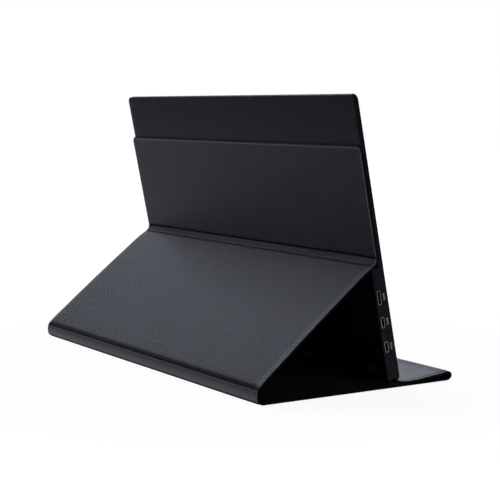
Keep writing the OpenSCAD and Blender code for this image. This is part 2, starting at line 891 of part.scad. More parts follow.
// Thin box speaker with a round cone that faces the rear wall
module speaker(x) {
    front = thick_inner - speaker_gap - speaker_t;
    cone_r = speaker_h / 2 - 2;
    color([0.13, 0.13, 0.14]) on_screen() translate([x, 0, foot_r]) difference() {
        union() {
            along_y(front, front + speaker_t)
                outline(speaker_l, 0, speaker_h, 2, 2);
            translate([0, front + speaker_t - eps, speaker_h / 2]) rotate([-90, 0, 0])
                cylinder(r = cone_r + 1, h = 0.5 + eps);
        }
        translate([0, front + speaker_t - 0.4, speaker_h / 2]) rotate([-90, 0, 0])
            cylinder(r1 = cone_r - 2.5, r2 = cone_r, h = 1);
    }
}

module speaker_left() {
    speaker(-speaker_x);
}

module speaker_right() {
    speaker(speaker_x);
}

// Insulated leads from both speakers to the lower edge of the main board
module speaker_leads() {
    depth = thick_inner - speaker_gap - speaker_t / 2;
    far_x = speaker_x - lead_in;
    near_x = main_left + main_w + lead_clear;
    start = foot_r + speaker_h;
    landing = main_bottom + lead_rise;
    color([0.55, 0.08, 0.08]) on_screen() {
        lead([far_x, depth, start], [far_x, depth, lead_up]);
        lead([far_x, depth, lead_up], [near_x, depth, lead_up]);
        lead([near_x, depth, lead_up], [near_x, depth, landing]);
        lead([near_x, depth, landing], [near_x - lead_landing, depth, landing]);
        lead([-far_x, depth, start], [-far_x, depth, main_bottom + short_lead_rise]);
    }
}

// Round lead between two points that differ along one axis only, with a rounded far end
module lead(from, to) {
    run = to - from;
    turn = run[0] != 0 ? [0, 90 * sign(run[0]), 0] : [0, run[2] > 0 ? 0 : 180, 0];
    translate(from) rotate(turn) cylinder(r = lead_r, h = norm(run));
    translate(to) sphere(lead_r);
}

module board_screws() {
    color(steel) on_screen() for (place = board_screw_places)
        translate([place[0], pcb_front, place[1]]) rotate([-90, 0, 0]) {
            cylinder(r = board_screw_r - 0.02, h = board_screw_l);
            translate([0, 0, -screw_head_h]) cylinder(r = board_screw_r * 2, h = screw_head_h);
        }
}

module housing_screws() {
    color(steel) on_screen() for (x = screw_x)
        translate([x, thick_t, screw_up]) rotate([90, 0, 0]) {
            cylinder(r = screw_head_r, h = screw_head_h);
            cylinder(r = screw_r - 0.02, h = screw_head_h + screw_l);
        }
}

// Button that slides in through the display's right side, held in by a flange behind the wall
module side_button(up) {
    color(housing_colour) on_screen() {
        slot_x(flange_outer - eps, side_x + button_proud, port_depth, up, button_l, button_w);
        slot_x(flange_outer - flange_t, flange_outer, port_depth, up,
            button_l + 2 * flange_edge, button_w + 2 * flange_edge);
        translate([rod_tip, port_depth, up]) rotate([0, 90, 0])
            cylinder(r = button_rod_r, h = flange_outer - flange_t - rod_tip + eps);
    }
}

module power_button() {
    side_button(button_h[0]);
}

module plus_button() {
    side_button(button_h[1]);
}

module minus_button() {
    side_button(button_h[2]);
}

back_panel_skin();
back_panel_board();
back_panel_lining();
cover_magnets();
fold_strip();
prop_skin();
prop_board();
prop_lining();
rear_spine_skin();
rear_spine_board();
rear_spine_lining();
base_skin();
base_board();
base_lining();
front_strip();
flap_skin();
flap_board();
flap_lining();
flap_magnets();
front_bezel();
rear_housing();
bezel_tape();
lcd_panel();
optical_sheets();
light_guide();
reflector_sheet();
led_strip();
panel_frame();
panel_tray();
panel_driver_board();
magnet_plate();
main_board();
main_board_chips();
mini_hdmi_socket();
mini_hdmi_tongue();
usb_c_socket_upper();
usb_c_socket_lower();
usb_c_tongues();
display_cable();
button_board();
tact_switches();
audio_jack();
button_cable();
status_lens();
speaker_left();
speaker_right();
speaker_leads();
board_screws();
housing_screws();
power_button();
plus_button();
minus_button();
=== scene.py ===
"""Dresses a slim portable monitor that stands in its folded leather cover.

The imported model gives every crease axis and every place. Sections of the cover are worked out in
millimetres, in the plane across its creases, and meshes are made in metres.
"""

from __future__ import annotations

import json
import logging
import math
from collections.abc import Callable, Sequence
from dataclasses import dataclass
from enum import Enum

import bmesh
import bpy
import numpy as np
from mathutils import Matrix, Vector

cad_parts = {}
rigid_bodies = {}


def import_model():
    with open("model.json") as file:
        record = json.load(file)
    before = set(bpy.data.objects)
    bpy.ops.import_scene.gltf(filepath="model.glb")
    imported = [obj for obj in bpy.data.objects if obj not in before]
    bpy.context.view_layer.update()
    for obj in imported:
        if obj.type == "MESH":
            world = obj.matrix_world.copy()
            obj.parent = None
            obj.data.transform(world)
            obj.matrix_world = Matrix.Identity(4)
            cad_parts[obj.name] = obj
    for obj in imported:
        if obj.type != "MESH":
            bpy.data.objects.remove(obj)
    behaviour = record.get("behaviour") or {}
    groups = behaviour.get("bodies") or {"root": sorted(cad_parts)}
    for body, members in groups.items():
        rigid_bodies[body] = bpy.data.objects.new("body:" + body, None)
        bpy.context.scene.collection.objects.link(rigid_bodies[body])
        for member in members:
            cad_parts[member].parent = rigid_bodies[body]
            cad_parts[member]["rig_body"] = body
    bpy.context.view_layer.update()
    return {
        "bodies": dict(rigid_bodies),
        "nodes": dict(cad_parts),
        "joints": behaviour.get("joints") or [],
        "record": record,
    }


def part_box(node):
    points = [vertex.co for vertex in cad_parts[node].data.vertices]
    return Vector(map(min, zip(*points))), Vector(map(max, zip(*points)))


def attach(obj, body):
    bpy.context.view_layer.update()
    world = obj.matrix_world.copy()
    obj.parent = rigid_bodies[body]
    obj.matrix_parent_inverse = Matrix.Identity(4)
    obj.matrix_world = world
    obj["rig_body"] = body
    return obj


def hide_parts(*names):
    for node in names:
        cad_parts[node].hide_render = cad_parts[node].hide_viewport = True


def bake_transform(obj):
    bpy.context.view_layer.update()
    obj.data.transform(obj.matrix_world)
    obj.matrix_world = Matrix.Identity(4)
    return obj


log = logging.getLogger("monitor")

MM = 0.001
SHARP = math.radians(35)
SAME_POINT = 2e-6
Colour = Sequence[float] | bpy.types.NodeSocket


class Tree:
    """Adds nodes to one node tree."""

    def __init__(self, tree: bpy.types.NodeTree) -> None:
        """Keeps the tree and empties it."""
        self.tree = tree
        tree.nodes.clear()

    def add(self, kind: str, inputs: dict | None = None, **settings: object) -> bpy.types.Node:
        """Adds one node.

        Args:
            kind: The node's type name.
            inputs: Values or links, by the name or number of the socket.
            settings: Attributes that are set before its inputs.

        Returns:
            The new node.
        """
        node = self.tree.nodes.new(kind)
        for name, value in settings.items():
            setattr(node, name, value)
        for name, value in (inputs or {}).items():
            self.put(node.inputs[name], value)
        return node

    def put(self, socket: bpy.types.NodeSocket, value: object) -> None:
        """Links a node's output to a socket, or sets the socket's own value."""
        if isinstance(value, Num):
            value = value.socket
        if isinstance(value, bpy.types.NodeSocket):
            self.tree.links.new(value, socket)
        else:
            socket.default_value = value


class Num:
    """A number that comes out of a node, with the arithmetic of a number."""

    def __init__(self, tree: Tree, socket: bpy.types.NodeSocket) -> None:
        """Keeps the socket and the tree it is in."""
        self.tree = tree
        self.socket = socket

    def maths(self, operation: str, *others: float | Num) -> Num:
        """Runs one operation on this number.

        Args:
            operation: Name of the Math node's operation.
            others: The other operands.

        Returns:
            The result.
        """
        values = dict(enumerate((self, *others)))
        return Num(self.tree, self.tree.add("ShaderNodeMath", values, operation=operation).outputs[0])

    def __add__(self, other: float | Num) -> Num:
        """This number plus another."""
        return self.maths("ADD", other)

    def __mul__(self, other: float | Num) -> Num:
        """This number times another."""
        return self.maths("MULTIPLY", other)

    def __sub__(self, other: float | Num) -> Num:
        """This number minus another."""
        return self.maths("SUBTRACT", other)

    def __rsub__(self, other: float) -> Num:
        """A plain number minus this one."""
        return self.maths("MULTIPLY", -1.0) + other

    __radd__ = __add__
    __rmul__ = __mul__

    def ramp(self, low: float, high: float) -> Num:
        """Rises smoothly from 0 at low to 1 at high."""
        node = self.tree.add(
            "ShaderNodeMapRange",
            {"Value": self, "From Min": low, "From Max": high},
            interpolation_type="SMOOTHSTEP",
        )
        return Num(self.tree, node.outputs["Result"])


class Place(Enum):
    """Where a pattern is laid out: on the object, or on the cover's own length and width."""

    OBJECT = "object"
    COVER = "cover"


@dataclass(frozen=True)
class Finish:
    """A surface finish with a fine pattern of bumps and a slight change of shade.

    The bump is a share of the grain's size, patch is the size of a patch of shade in grains, and
    uneven is how far the roughness varies.
    """

    name: str
    colour: tuple[float, float, float]
    roughness: float = 0.5
    metallic: float = 0.0
    place: Place = Place.OBJECT
    grain_mm: float = 0.5
    bump: float = 0.1
    shade: float = 0.15
    sheen: float = 0.0
    coat: float = 0.0
    specular: float = 0.5
    gloss: tuple[float, float, float] = (1.0, 1.0, 1.0)
    sheen_rough: float = 0.5
    coat_rough: float = 0.08
    patch: float = 40.0
    uneven: float = 0.12

    def material(self) -> bpy.types.Material:
        """Returns the finish's material, which is made at the first call."""
        found = bpy.data.materials.get(self.name)
        if found:
            return found
        made = bpy.data.materials.new(self.name)
        made.use_nodes = True
        tree = Tree(made.node_tree)
        surface = tree.add(
            "ShaderNodeBsdfPrincipled",
            {
                "Metallic": self.metallic,
                "Roughness": self.roughness,
                "Sheen Weight": self.sheen,
                "Sheen Roughness": self.sheen_rough,
                "Coat Weight": self.coat,
                "Coat Roughness": self.coat_rough,
                "Specular IOR Level": self.specular,
                "Specular Tint": (*self.gloss, 1.0),
                "Base Color": (*self.colour, 1.0),
            },
        )
        self.pattern(tree, surface)
        tree.add("ShaderNodeOutputMaterial", {"Surface": surface.outputs[0]})
        return made

    def where(self, tree: Tree) -> bpy.types.NodeSocket:
        """The coordinates that the pattern follows, in metres."""
        if self.place is Place.COVER:
            return tree.add("ShaderNodeUVMap", uv_map="cover").outputs[0]
        return tree.add("ShaderNodeTexCoord").outputs["Object"]

    def noise(self, tree: Tree, size_mm: float, detail: float = 2.0, rough: float = 0.5,
              stretch: float = 1.0) -> Num:
        """Noise in features.

        Args:
            tree: The material's tree.
            size_mm: Their width.
            detail: How many finer scales are added.
            rough: How strong the finer scales are.
            stretch: Their length over their width.

        Returns:
            The noise, from 0 to 1.
        """
        place = self.where(tree)
        if stretch != 1.0:
            drawn = {"Vector": place, "Scale": (1 / stretch, 1.0, 1.0)}
            place = tree.add("ShaderNodeMapping", drawn).outputs[0]
        node = tree.add(
            "ShaderNodeTexNoise",
            {"Vector": place, "Scale": 1 / (size_mm * MM), "Detail": detail, "Roughness": rough},
        )
        return Num(tree, node.outputs["Fac"])

    def cells(self, tree: Tree, size_mm: float) -> Num:
        """Distance inside smooth cells that are about size_mm wide."""
        inputs = {"Vector": self.where(tree), "Scale": 1 / (size_mm * MM)}
        return Num(tree, tree.add("ShaderNodeTexVoronoi", inputs, feature="SMOOTH_F1").outputs["Distance"])

    def attribute(self, tree: Tree, name: str) -> Num:
        """A number that the mesh carries at each point."""
        return Num(tree, tree.add("ShaderNodeAttribute", attribute_name=name).outputs["Fac"])

    def mixed(self, tree: Tree, factor: Num, low: Colour, high: Colour) -> bpy.types.NodeSocket:
        """Mixes two colours.

        Args:
            tree: The material's tree.
            factor: 0 gives low and 1 gives high.
            low: The first colour, or its socket.
            high: The second colour, or its socket.

        Returns:
            The mixed colour's socket.
        """
        ends = [c if isinstance(c, bpy.types.NodeSocket) else (*c, 1.0) for c in (low, high)]
        inputs = {0: factor, 6: ends[0], 7: ends[1]}
        return tree.add("ShaderNodeMix", inputs, data_type="RGBA", clamp_factor=True).outputs[2]

    def raised(self, tree: Tree, height: Num, depth_mm: float) -> bpy.types.NodeSocket:
        """Turns a height of 0 to 1 into a normal, for bumps of depth_mm."""
        inputs = {"Height": height, "Distance": depth_mm * MM, "Strength": 1.0}
        return tree.add("ShaderNodeBump", inputs).outputs[0]

    def shades(self) -> tuple[list[float], list[float]]:
        """The darkest and the lightest shade of the finish."""
        return [c * (1 - self.shade) for c in self.colour], [c * (1 + self.shade) for c in self.colour]

    def pattern(self, tree: Tree, surface: bpy.types.Node) -> None:
        """Fine bumps, with a slow change of shade and of roughness."""
        slow = self.noise(tree, self.grain_mm * self.patch)
        fine = self.noise(tree, self.grain_mm, 3.0)
        tree.put(surface.inputs["Base Color"], self.mixed(tree, slow.ramp(0.3, 0.7), *self.shades()))
        tree.put(surface.inputs["Roughness"], fine * self.uneven + (self.roughness - self.uneven / 2))
        tree.put(surface.inputs["Normal"], self.raised(tree, fine, self.grain_mm * self.bump))


@dataclass(frozen=True)
class Leather(Finish):
    """Pebbled synthetic leather with painted highlights where it stands proud, and creased where it folds.
    """

    # Colour of the painted highlights along the edges and of the painted floor reflection on the rear spine.
    rubbed: tuple[float, float, float] = (0.1, 0.1, 0.11)
    # Black of the raw cut edges, also laid on as painted contact shadow beside them and as painted shade in
    # the grooves and underneath.
    core: tuple[float, float, float] = (0.002, 0.002, 0.002)
    blotch_mm: float = 38.0
    wrinkle_mm: float = 1.9
    crinkle_mm: float = 3.2
    crinkle_stretch: float = 9.0
    pebble_matt: float = 0.16
    mottle_matt: float = 0.36

    def pattern(self, tree: Tree, surface: bpy.types.Node) -> None:
        """Pebble grain over fine noise, with wrinkles that the mesh's crease value brings out."""
        crease = self.attribute(tree, "crease")
        # Amount of painted highlight and painted floor reflection, carried by the mesh.
        edge = self.attribute(tree, "rub")
        # Amount of black: raw cut edges, painted contact shadow beside them, and painted shade in grooves
        # and underneath.
        cut = self.attribute(tree, "cut")
        pebble = self.cells(tree, self.grain_mm)
        fine = self.noise(tree, self.grain_mm * 0.45, 3.0, 0.6)
        blotch = self.noise(tree, self.blotch_mm, 3.0)
        mottle = self.noise(tree, self.grain_mm * 1.5, 2.0)
        wrinkle = self.noise(tree, self.wrinkle_mm, 4.0, 0.65)
        crinkle = self.noise(tree, self.crinkle_mm, 3.0, 0.6, self.crinkle_stretch)
        tone = blotch.ramp(0.3, 0.7) * 0.2 + mottle.ramp(0.35, 0.65) * 0.8
        base = self.mixed(tree, tone, *self.shades())
        # Painted highlight: lightens the colour where the mesh's highlight value is high.
        highlighted = self.mixed(tree, edge * (fine * 0.5 + 0.75), base, self.rubbed)
        # Darkens to black where the cut value is high: raw edge, painted contact shadow and painted shade.
        tree.put(surface.inputs["Base Color"], self.mixed(tree, cut, highlighted, self.core))
        middle = (self.pebble_matt + self.mottle_matt) / 2
        matt = pebble * self.pebble_matt + mottle * self.mottle_matt + (self.roughness - middle)
        tree.put(surface.inputs["Roughness"], matt + cut * (1.0 - matt))
        height = pebble * 0.7 + fine * 0.45 + crinkle * 0.12 + wrinkle * crease * 0.7
        tree.put(surface.inputs["Normal"], self.raised(tree, height, self.grain_mm * self.bump))


@dataclass(frozen=True)
class Microfibre(Finish):
    """Short brushed nap with a soft streak."""

    streak_mm: float = 14.0

    def pattern(self, tree: Tree, surface: bpy.types.Node) -> None:
        """Two scales of nap, the finer one raised."""
        nap = self.noise(tree, self.grain_mm, 4.0, 0.7)
        streak = self.noise(tree, self.streak_mm, 3.0)
        tone = nap.ramp(0.25, 0.75) * 0.6 + streak.ramp(0.3, 0.7) * 0.4
        tree.put(surface.inputs["Base Color"], self.mixed(tree, tone, *self.shades()))
        tree.put(surface.inputs["Normal"], self.raised(tree, nap, self.grain_mm * self.bump))


@dataclass(frozen=True)
class Shell(Finish):
    """Plating of a socket's shell, bright round the mouth, with painted shade inside it."""

    mouth: float = 0.177
    fade: float = 0.0002
    # Colour of the painted shade inside the socket's recess.
    inside: tuple[float, float, float] = (0.003, 0.003, 0.003)

    def pattern(self, tree: Tree, surface: bpy.types.Node) -> None:
        """Goes to the painted shade a little way in from the display's side."""
        spot = tree.add("ShaderNodeSeparateXYZ", {0: self.where(tree)}).outputs[0]
        out = Num(tree, spot).maths("ABSOLUTE").ramp(self.mouth - self.fade, self.mouth + self.fade)
        tree.put(surface.inputs["Base Color"], self.mixed(tree, out, self.inside, self.colour))


class Finishes:
    """The finishes of every piece, each in a maker's plain words."""

    # The leather's last colour is the colour of its painted highlights.
    leather = Leather("black_pebbled_leather", (0.0125, 0.0145, 0.0215), 0.37, place=Place.COVER,
                      grain_mm=1.0, bump=0.85, shade=0.9, sheen=0.04, specular=0.38,
                      gloss=(0.93, 0.94, 1.0), rubbed=(0.24, 0.235, 0.26))
    lining = Microfibre("black_microfibre", (0.010, 0.010, 0.012), 0.92, place=Place.COVER,
                        grain_mm=0.35, bump=0.5, shade=0.3, sheen=0.05, specular=0.15)
    wire = Finish("black_woven_wire", (0.03, 0.03, 0.032), 0.5, grain_mm=0.2, bump=0.2, shade=0.2)
    screw = Finish("blackened_steel", (0.09, 0.09, 0.095), 0.38, 0.9, grain_mm=0.2, bump=0.06, shade=0.15)
    greyboard = Finish("grey_fibreboard", (0.22, 0.20, 0.18), 0.9, grain_mm=0.7, bump=0.3, shade=0.2)
    housing = Finish("slate_satin_plastic", (0.0052, 0.0070, 0.0112), 0.42, grain_mm=0.16, bump=0.09,
                     shade=0.10, specular=0.25, gloss=(0.92, 0.95, 1.0))
    bezel = Finish("black_satin_plastic", (0.004, 0.004, 0.005), 0.38, grain_mm=0.16, bump=0.08, shade=0.10,
                   specular=0.2)
    key = Finish("slate_moulded_key", (0.020, 0.024, 0.029), 0.36, grain_mm=0.14, bump=0.06, shade=0.08)
    screen = Finish("dark_matt_screen", (0.0035, 0.0035, 0.0045), 0.27, grain_mm=0.09, bump=0.04,
                    shade=0.05)
    steel = Finish("plated_steel", (0.74, 0.75, 0.78), 0.3, 1.0, grain_mm=0.25, bump=0.05, shade=0.12)
    copper = Finish("copper_plate", (0.86, 0.55, 0.31), 0.34, 1.0, grain_mm=0.25, bump=0.05, shade=0.15)
    steel_shell = Shell("socket_steel", (0.74, 0.75, 0.78), 0.3, 1.0)
    copper_shell = Shell("socket_copper", (0.86, 0.55, 0.31), 0.34, 1.0)
    magnet = Finish("nickel_plate", (0.6, 0.6, 0.61), 0.22, 1.0, grain_mm=0.3, bump=0.04, shade=0.08)
    film = Finish("white_film", (0.80, 0.80, 0.78), 0.45, grain_mm=0.4, bump=0.05, shade=0.04)
    acrylic = Finish("clear_acrylic", (0.70, 0.78, 0.80), 0.12, grain_mm=0.5, bump=0.02, shade=0.03,
                     coat=0.3)
    lens = Finish("frosted_lens", (0.42, 0.48, 0.55), 0.3, grain_mm=0.3, bump=0.04, shade=0.05)
    board = Finish("green_circuit_board", (0.010, 0.075, 0.035), 0.35, grain_mm=0.9, bump=0.12, shade=0.3)
    moulding = Finish("black_moulding", (0.012, 0.012, 0.013), 0.5, grain_mm=0.2, bump=0.1, shade=0.15)
    amber = Finish("amber_flexible_film", (0.35, 0.15, 0.03), 0.3, grain_mm=0.5, bump=0.06, shade=0.12)
    mark = Finish("white_print", (0.85, 0.85, 0.87), 0.6, grain_mm=0.2, bump=0.03, shade=0.1)

    by_slot = {
        "leather": leather, "lining": lining, "cover_board": greyboard, "magnet": magnet,
        "housing": housing, "bezel": bezel, "screen": screen, "white_film": film, "acrylic": acrylic,
        "sheet_steel": steel, "copper_shell": copper, "circuit_board": board,
        "black_plastic": moulding, "flex_film": amber,
    }


def placed(name: str, data: bpy.types.ID) -> bpy.types.Object:
    """Puts a new object that holds this mesh, lamp or camera into the scene."""
    made = bpy.data.objects.new(name, data)
    bpy.context.scene.collection.objects.link(made)
    return made


def smoothed(mesh: bpy.types.Mesh) -> None:
    """Shades a mesh smoothly, apart from its sharp edges."""
    mesh.shade_smooth()
    mesh.set_sharp_from_angle(angle=SHARP)


def plain_mesh(name: str, points: Sequence, faces: list, finish: Finish) -> bpy.types.Object:
    """Makes a smooth-shaded mesh object.

    Args:
        name: The piece's name.
        points: Its points, in metres.
        faces: Its faces, as lists of point numbers.
        finish: Its finish.

    Returns:
        The object, at the origin.
    """
    mesh = bpy.data.meshes.new(name)
    mesh.from_pydata([tuple(p) for p in points], [], faces)
    mesh.update()
    mesh.materials.append(finish.material())
    smoothed(mesh)
    return placed(name, mesh)


def smooth_step(x: np.ndarray, low: float, high: float) -> np.ndarray:
    """Rises smoothly from 0 at low to 1 at high."""
    t = np.clip((x - low) / (high - low), 0, 1)
    return t * t * (3 - 2 * t)


def plateau(x: np.ndarray, up: tuple[float, float], down: tuple[float, float]) -> np.ndarray:
    """Rises smoothly from 0 to 1 over one span and falls back over another."""
    return smooth_step(x, *up) * (1 - smooth_step(x, *down))


def rounded(x: np.ndarray, radius: float | np.ndarray) -> np.ndarray:
    """Height of a quarter circle of that radius, as a share of it, at distance x from its foot."""
    t = np.clip(x / radius, 0, 1)
    return np.sqrt(1 - (1 - t) ** 2)


def bell(x: np.ndarray, width: float | np.ndarray) -> np.ndarray:
    """Falls from 1 at 0 to about a third at that width, alike on both sides."""
    return np.exp(-(x / width) ** 2)


class Section:
    """The middle line of the folded cover, in the plane across its creases, in millimetres."""

    step: float = 0.1
    fine: int = 40

    def __init__(self, guide: Sequence[tuple[float, float]]) -> None:
        """Lays a smooth line through the guide's points and measures along it."""
        line = self.smooth(np.array(guide, float))
        lengths = np.r_[0, np.cumsum(np.linalg.norm(np.diff(line, axis=0), axis=1))]
        self.s = np.arange(0, lengths[-1], self.step)
        self.points = np.column_stack([np.interp(self.s, lengths, line[:, i]) for i in (0, 1)])
        along = np.gradient(self.points, axis=0)
        along /= np.linalg.norm(along, axis=1)[:, None]
        self.normals = np.column_stack([-along[:, 1], along[:, 0]])

    def smooth(self, guide: np.ndarray) -> np.ndarray:
        """Centripetal Catmull-Rom curve, with as many points as fine says between two of the guide."""
        p = np.vstack([2 * guide[0] - guide[1], guide, 2 * guide[-1] - guide[-2]])
        t = np.r_[0, np.cumsum(np.linalg.norm(np.diff(p, axis=0), axis=1) ** 0.5)]
        out = []
        for i in range(1, len(p) - 2):
            u = np.linspace(t[i], t[i + 1], self.fine, endpoint=False)[:, None]
            a = [((t[j + 1] - u) * p[j] + (u - t[j]) * p[j + 1]) / (t[j + 1] - t[j])
                 for j in (i - 1, i, i + 1)]
            b = [((t[j + 2] - u) * a[k] + (u - t[j]) * a[k + 1]) / (t[j + 2] - t[j])
                 for k, j in enumerate((i - 1, i))]
            out.append(((t[i + 1] - u) * b[0] + (u - t[i]) * b[1]) / (t[i + 1] - t[i]))
        return np.vstack([*out, p[-2]])

    def near(self, y: float, z: float) -> float:
        """Distance along the line to its point nearest to (y, z)."""
        return float(self.s[np.argmin(np.linalg.norm(self.points - [y, z], axis=1))])

    def at(self, s: np.ndarray, height: np.ndarray) -> tuple[np.ndarray, np.ndarray]:
        """Places points beside the line.

        Args:
            s: Distances along the line.
            height: Distances out from it.

        Returns:
            Their y and z.
        """
        place = [np.interp(s, self.s, self.points[:, i]) for i in (0, 1)]
        out = [np.interp(s, self.s, self.normals[:, i]) for i in (0, 1)]
        return place[0] + height * out[0], place[1] + height * out[1]


class Fold(Enum):
    """The creases of the cover, by the joint that turns there."""

    UPPER = "upper_fold_crease"
    LOWER = "lower_fold_crease"
    REAR_TOP = "prop_crease"
    REAR_LOW = "stand_opening"
    FRONT_LOW = "flap_opening"
    FRONT_TOP = "flap_crease"


@dataclass(frozen=True)
class Groove:
    """A line pressed into the leather, which may rise more slowly past its bottom than before it.

    The painted shade is how far its bottom is painted dark, from 0 to 1, and its widths are shares of the
    groove's own, before its bottom and past it.
    """

    place: float
    depth: float
    before: float
    after: float
    stain: float = 0.0
    stain_widths: tuple[float, float] = (0.8, 0.5)

    def shade(self, s: np.ndarray) -> np.ndarray:
        """How dark the painted shade makes the leather in its depth at each place along the cover."""
        first, last = self.stain_widths
        width = np.where(s < self.place, first * self.before, last * self.after)
        return self.stain * bell(s - self.place, width)

    def drop(self, s: np.ndarray) -> np.ndarray:
        """How far the leather lies down at each place along the cover."""
        width = np.where(s < self.place, self.before, self.after)
        return self.depth * bell(s - self.place, width)


@dataclass(frozen=True)
class HighlightLine:
    """A painted highlight along an edge of the leather: how strongly, how far in and how wide."""

    strength: float
    inset: float
    width: float

    def at(self, d: np.ndarray) -> np.ndarray:
        """How strong the painted highlight is at each distance in from the edge."""
        return self.strength * bell(d - self.inset, self.width)


@dataclass
class Stretch:
    """A length of the cover: one that rides on a body, or one that lies between two."""

    name: str
    bodies: tuple[str, ...]
    start: float
    end: float
    nodes: dict[str, tuple[str, ...]]


@dataclass
class Cover:
    """The folio cover: leather outside, lining inside, boards between, and a hem pressed flat.

    Sizes are in millimetres. A hinge is where no board lies. A slope is where a form begins and ends
    beside its edge, a reach is how far a hinge goes past its creases, and a margin is where a form fades
    towards the cover's sides. end_share is the share of a groove's depth that is left there, and rim_end
    the share of the rim's painted highlight that is left at the back panel's free end.
    """

    frame: dict
    width: float = 360.0
    half_t: float = 1.0
    lining_in: float = 0.5
    board_top: float = 0.4
    board_gap: float = 0.02
    board_in: float = 0.15
    board_short: float = 2.2
    board_end: float = 0.3
    board_slope: tuple[float, float] = (-0.3, 0.1)
    hem: float = 4.1
    hem_drop: float = 0.35
    rim: float = 1.5
    rim_drop: float = 0.3
    corner_r: float = 5.0
    edge_r: float = 0.9
    edge_flat: float = 0.6
    lining_r: float = 0.2
    hinge_lift: float = 0.42
    hinge_thin: float = 0.2
    end_share: float = 0.25
    ripple: float = 0.05
    sag: float = 0.05
    # Where the black of the raw cut edge, with a painted contact shadow beside it, fades out.
    cut_edge: tuple[float, float] = (0.25, 1.15)
    hem_slope: tuple[float, float] = (-0.6, 0.5)
    hinge_slope: tuple[float, float] = (0.8, 0.4)
    fold_reach: tuple[float, float] = (-1.2, 1.4)
    rear_reach: tuple[float, float] = (-1.6, 1.4)
    hinge_margin: tuple[float, float] = (1.0, 3.5)
    groove_margin: tuple[float, float] = (1.2, 4.2)
    sag_margin: tuple[float, float] = (4.0, 30.0)
    # These set paler lines painted onto the leather: painted highlights along the hem and rims, and a
    # painted reflection of the floor on the rear spine towards its foot.
    hem_wear: float = 0.2
    foot_wear: float = 0.8
    spine_fade: float = 9.0
    rim_end: float = 0.6
    rim_span: tuple[float, float] = (3.0, 8.0)
    hem_line: HighlightLine = HighlightLine(0.55, 4.6, 0.9)
    edge_line: HighlightLine = HighlightLine(0.25, 1.6, 0.5)
    rim_line: HighlightLine = HighlightLine(1.0, 1.9, 0.5)
    foot_line: HighlightLine = HighlightLine(1.0, 1.3, 0.6)
    row_step: float = 3.0
    fine_step: float = 0.14
    least_step: float = 0.07
    row_gap: float = 0.09
    groove_rows: tuple[float, float] = (2.6, 1.2)
    fold_rows: tuple[float, float] = (3.5, 4.5)
    columns_inside: int = 61
    columns_from: float = 9.0
    lean: float = 12.0
    panel_len: float = 88.3

    def __post_init__(self) -> None:
        """Reads the crease axes and lays out the section and its stretches."""
        self.axis = {
            fold: tuple(c / MM for c in joint["pos_m"][1:])
            for fold in Fold
            for joint in self.frame["joints"]
            if joint["name"] == fold.value
        }
        self.section = Section(self.guide())
        self.grooves = self.groove_places()
        self.stretches = self.layout()

    def shifted(self, fold: Fold, moves: Sequence[tuple[float, float]]) -> list[tuple[float, float]]:
        """Points given by their distance from a crease axis."""
        y, z = self.axis[fold]
        return [(y + dy, z + dz) for dy, dz in moves]

    def crease(self, fold: Fold, dy: float = 0.0, dz: float = 0.0) -> float:
        """Place along the cover that is nearest to a point beside a crease axis."""
        return self.section.near(*self.shifted(fold, [(dy, dz)])[0])

    def guide(self) -> list[tuple[float, float]]:
        """Guide points of the middle line, from the back panel's free edge to the flap's tip."""
        lean = math.radians(self.lean)
        up = (math.sin(lean), math.cos(lean))
        top = self.axis[Fold.UPPER]
        runs = [
            (Fold.UPPER, [(0.15, -2.0), (1.08, -5.28), (2.86, -6.61)]),
            (Fold.LOWER, [(9.37, -7.49), (19.60, -15.51), (35.39, -27.8), (54.98, -43.33),
                          (72.1, -57.15), (87.54, -69.87), (97.62, -78.08), (102.14, -82.04)]),
            (Fold.REAR_TOP, [(-2.3, 0.62), (-1.3, -0.5), (-0.45, -3.4), (-0.4, -7.3), (-1.2, -9.9),
                             (-2.5, -11.35), (-4.6, -11.79)]),
            (Fold.REAR_LOW, [(-5.6, 0.01), (-9.0, 0.0)]),
            (Fold.FRONT_LOW, [(10.0, 0.0), (5.0, 0.03), (1.2, 0.6), (-0.1, 2.9), (0.85, 4.95),
                              (4.2, 5.95)]),
            (Fold.FRONT_TOP, [(8.5, -1.05), (20.7, -2.15), (36.8, -3.75), (47.5, -3.93),
                              (51.2, -3.95)]),
        ]
        panel = [(top[0] + d * up[0], top[1] + d * up[1]) for d in (self.panel_len, 60, 8, 3, 0.8)]
        return [*panel, *(point for fold, moves in runs for point in self.shifted(fold, moves))]

    def groove_places(self) -> list[Groove]:
        """The pressed grooves, from the upper fold to the front."""
        return [
            # The fifth number, where given, is how strongly the groove's bottom is painted dark as shade.
            Groove(self.crease(Fold.UPPER, 0.0, -0.4), 1.1, 0.8, 1.5, 0.8),
            Groove(self.crease(Fold.LOWER, -0.4, -0.7), 0.85, 0.6, 0.55, 0.7),
            Groove(self.crease(Fold.REAR_TOP, -1.7, -0.1), 1.2, 2.0, 7.0, 0.85),
            Groove(self.crease(Fold.REAR_LOW, -0.4, 0.6), 0.15, 2.5, 2.5),
            Groove(self.crease(Fold.FRONT_LOW, 0.6, 0.6), 0.2, 2.0, 2.0),
            Groove(self.crease(Fold.FRONT_TOP, 1.0, -0.6), 0.2, 2.0, 2.0),
        ]

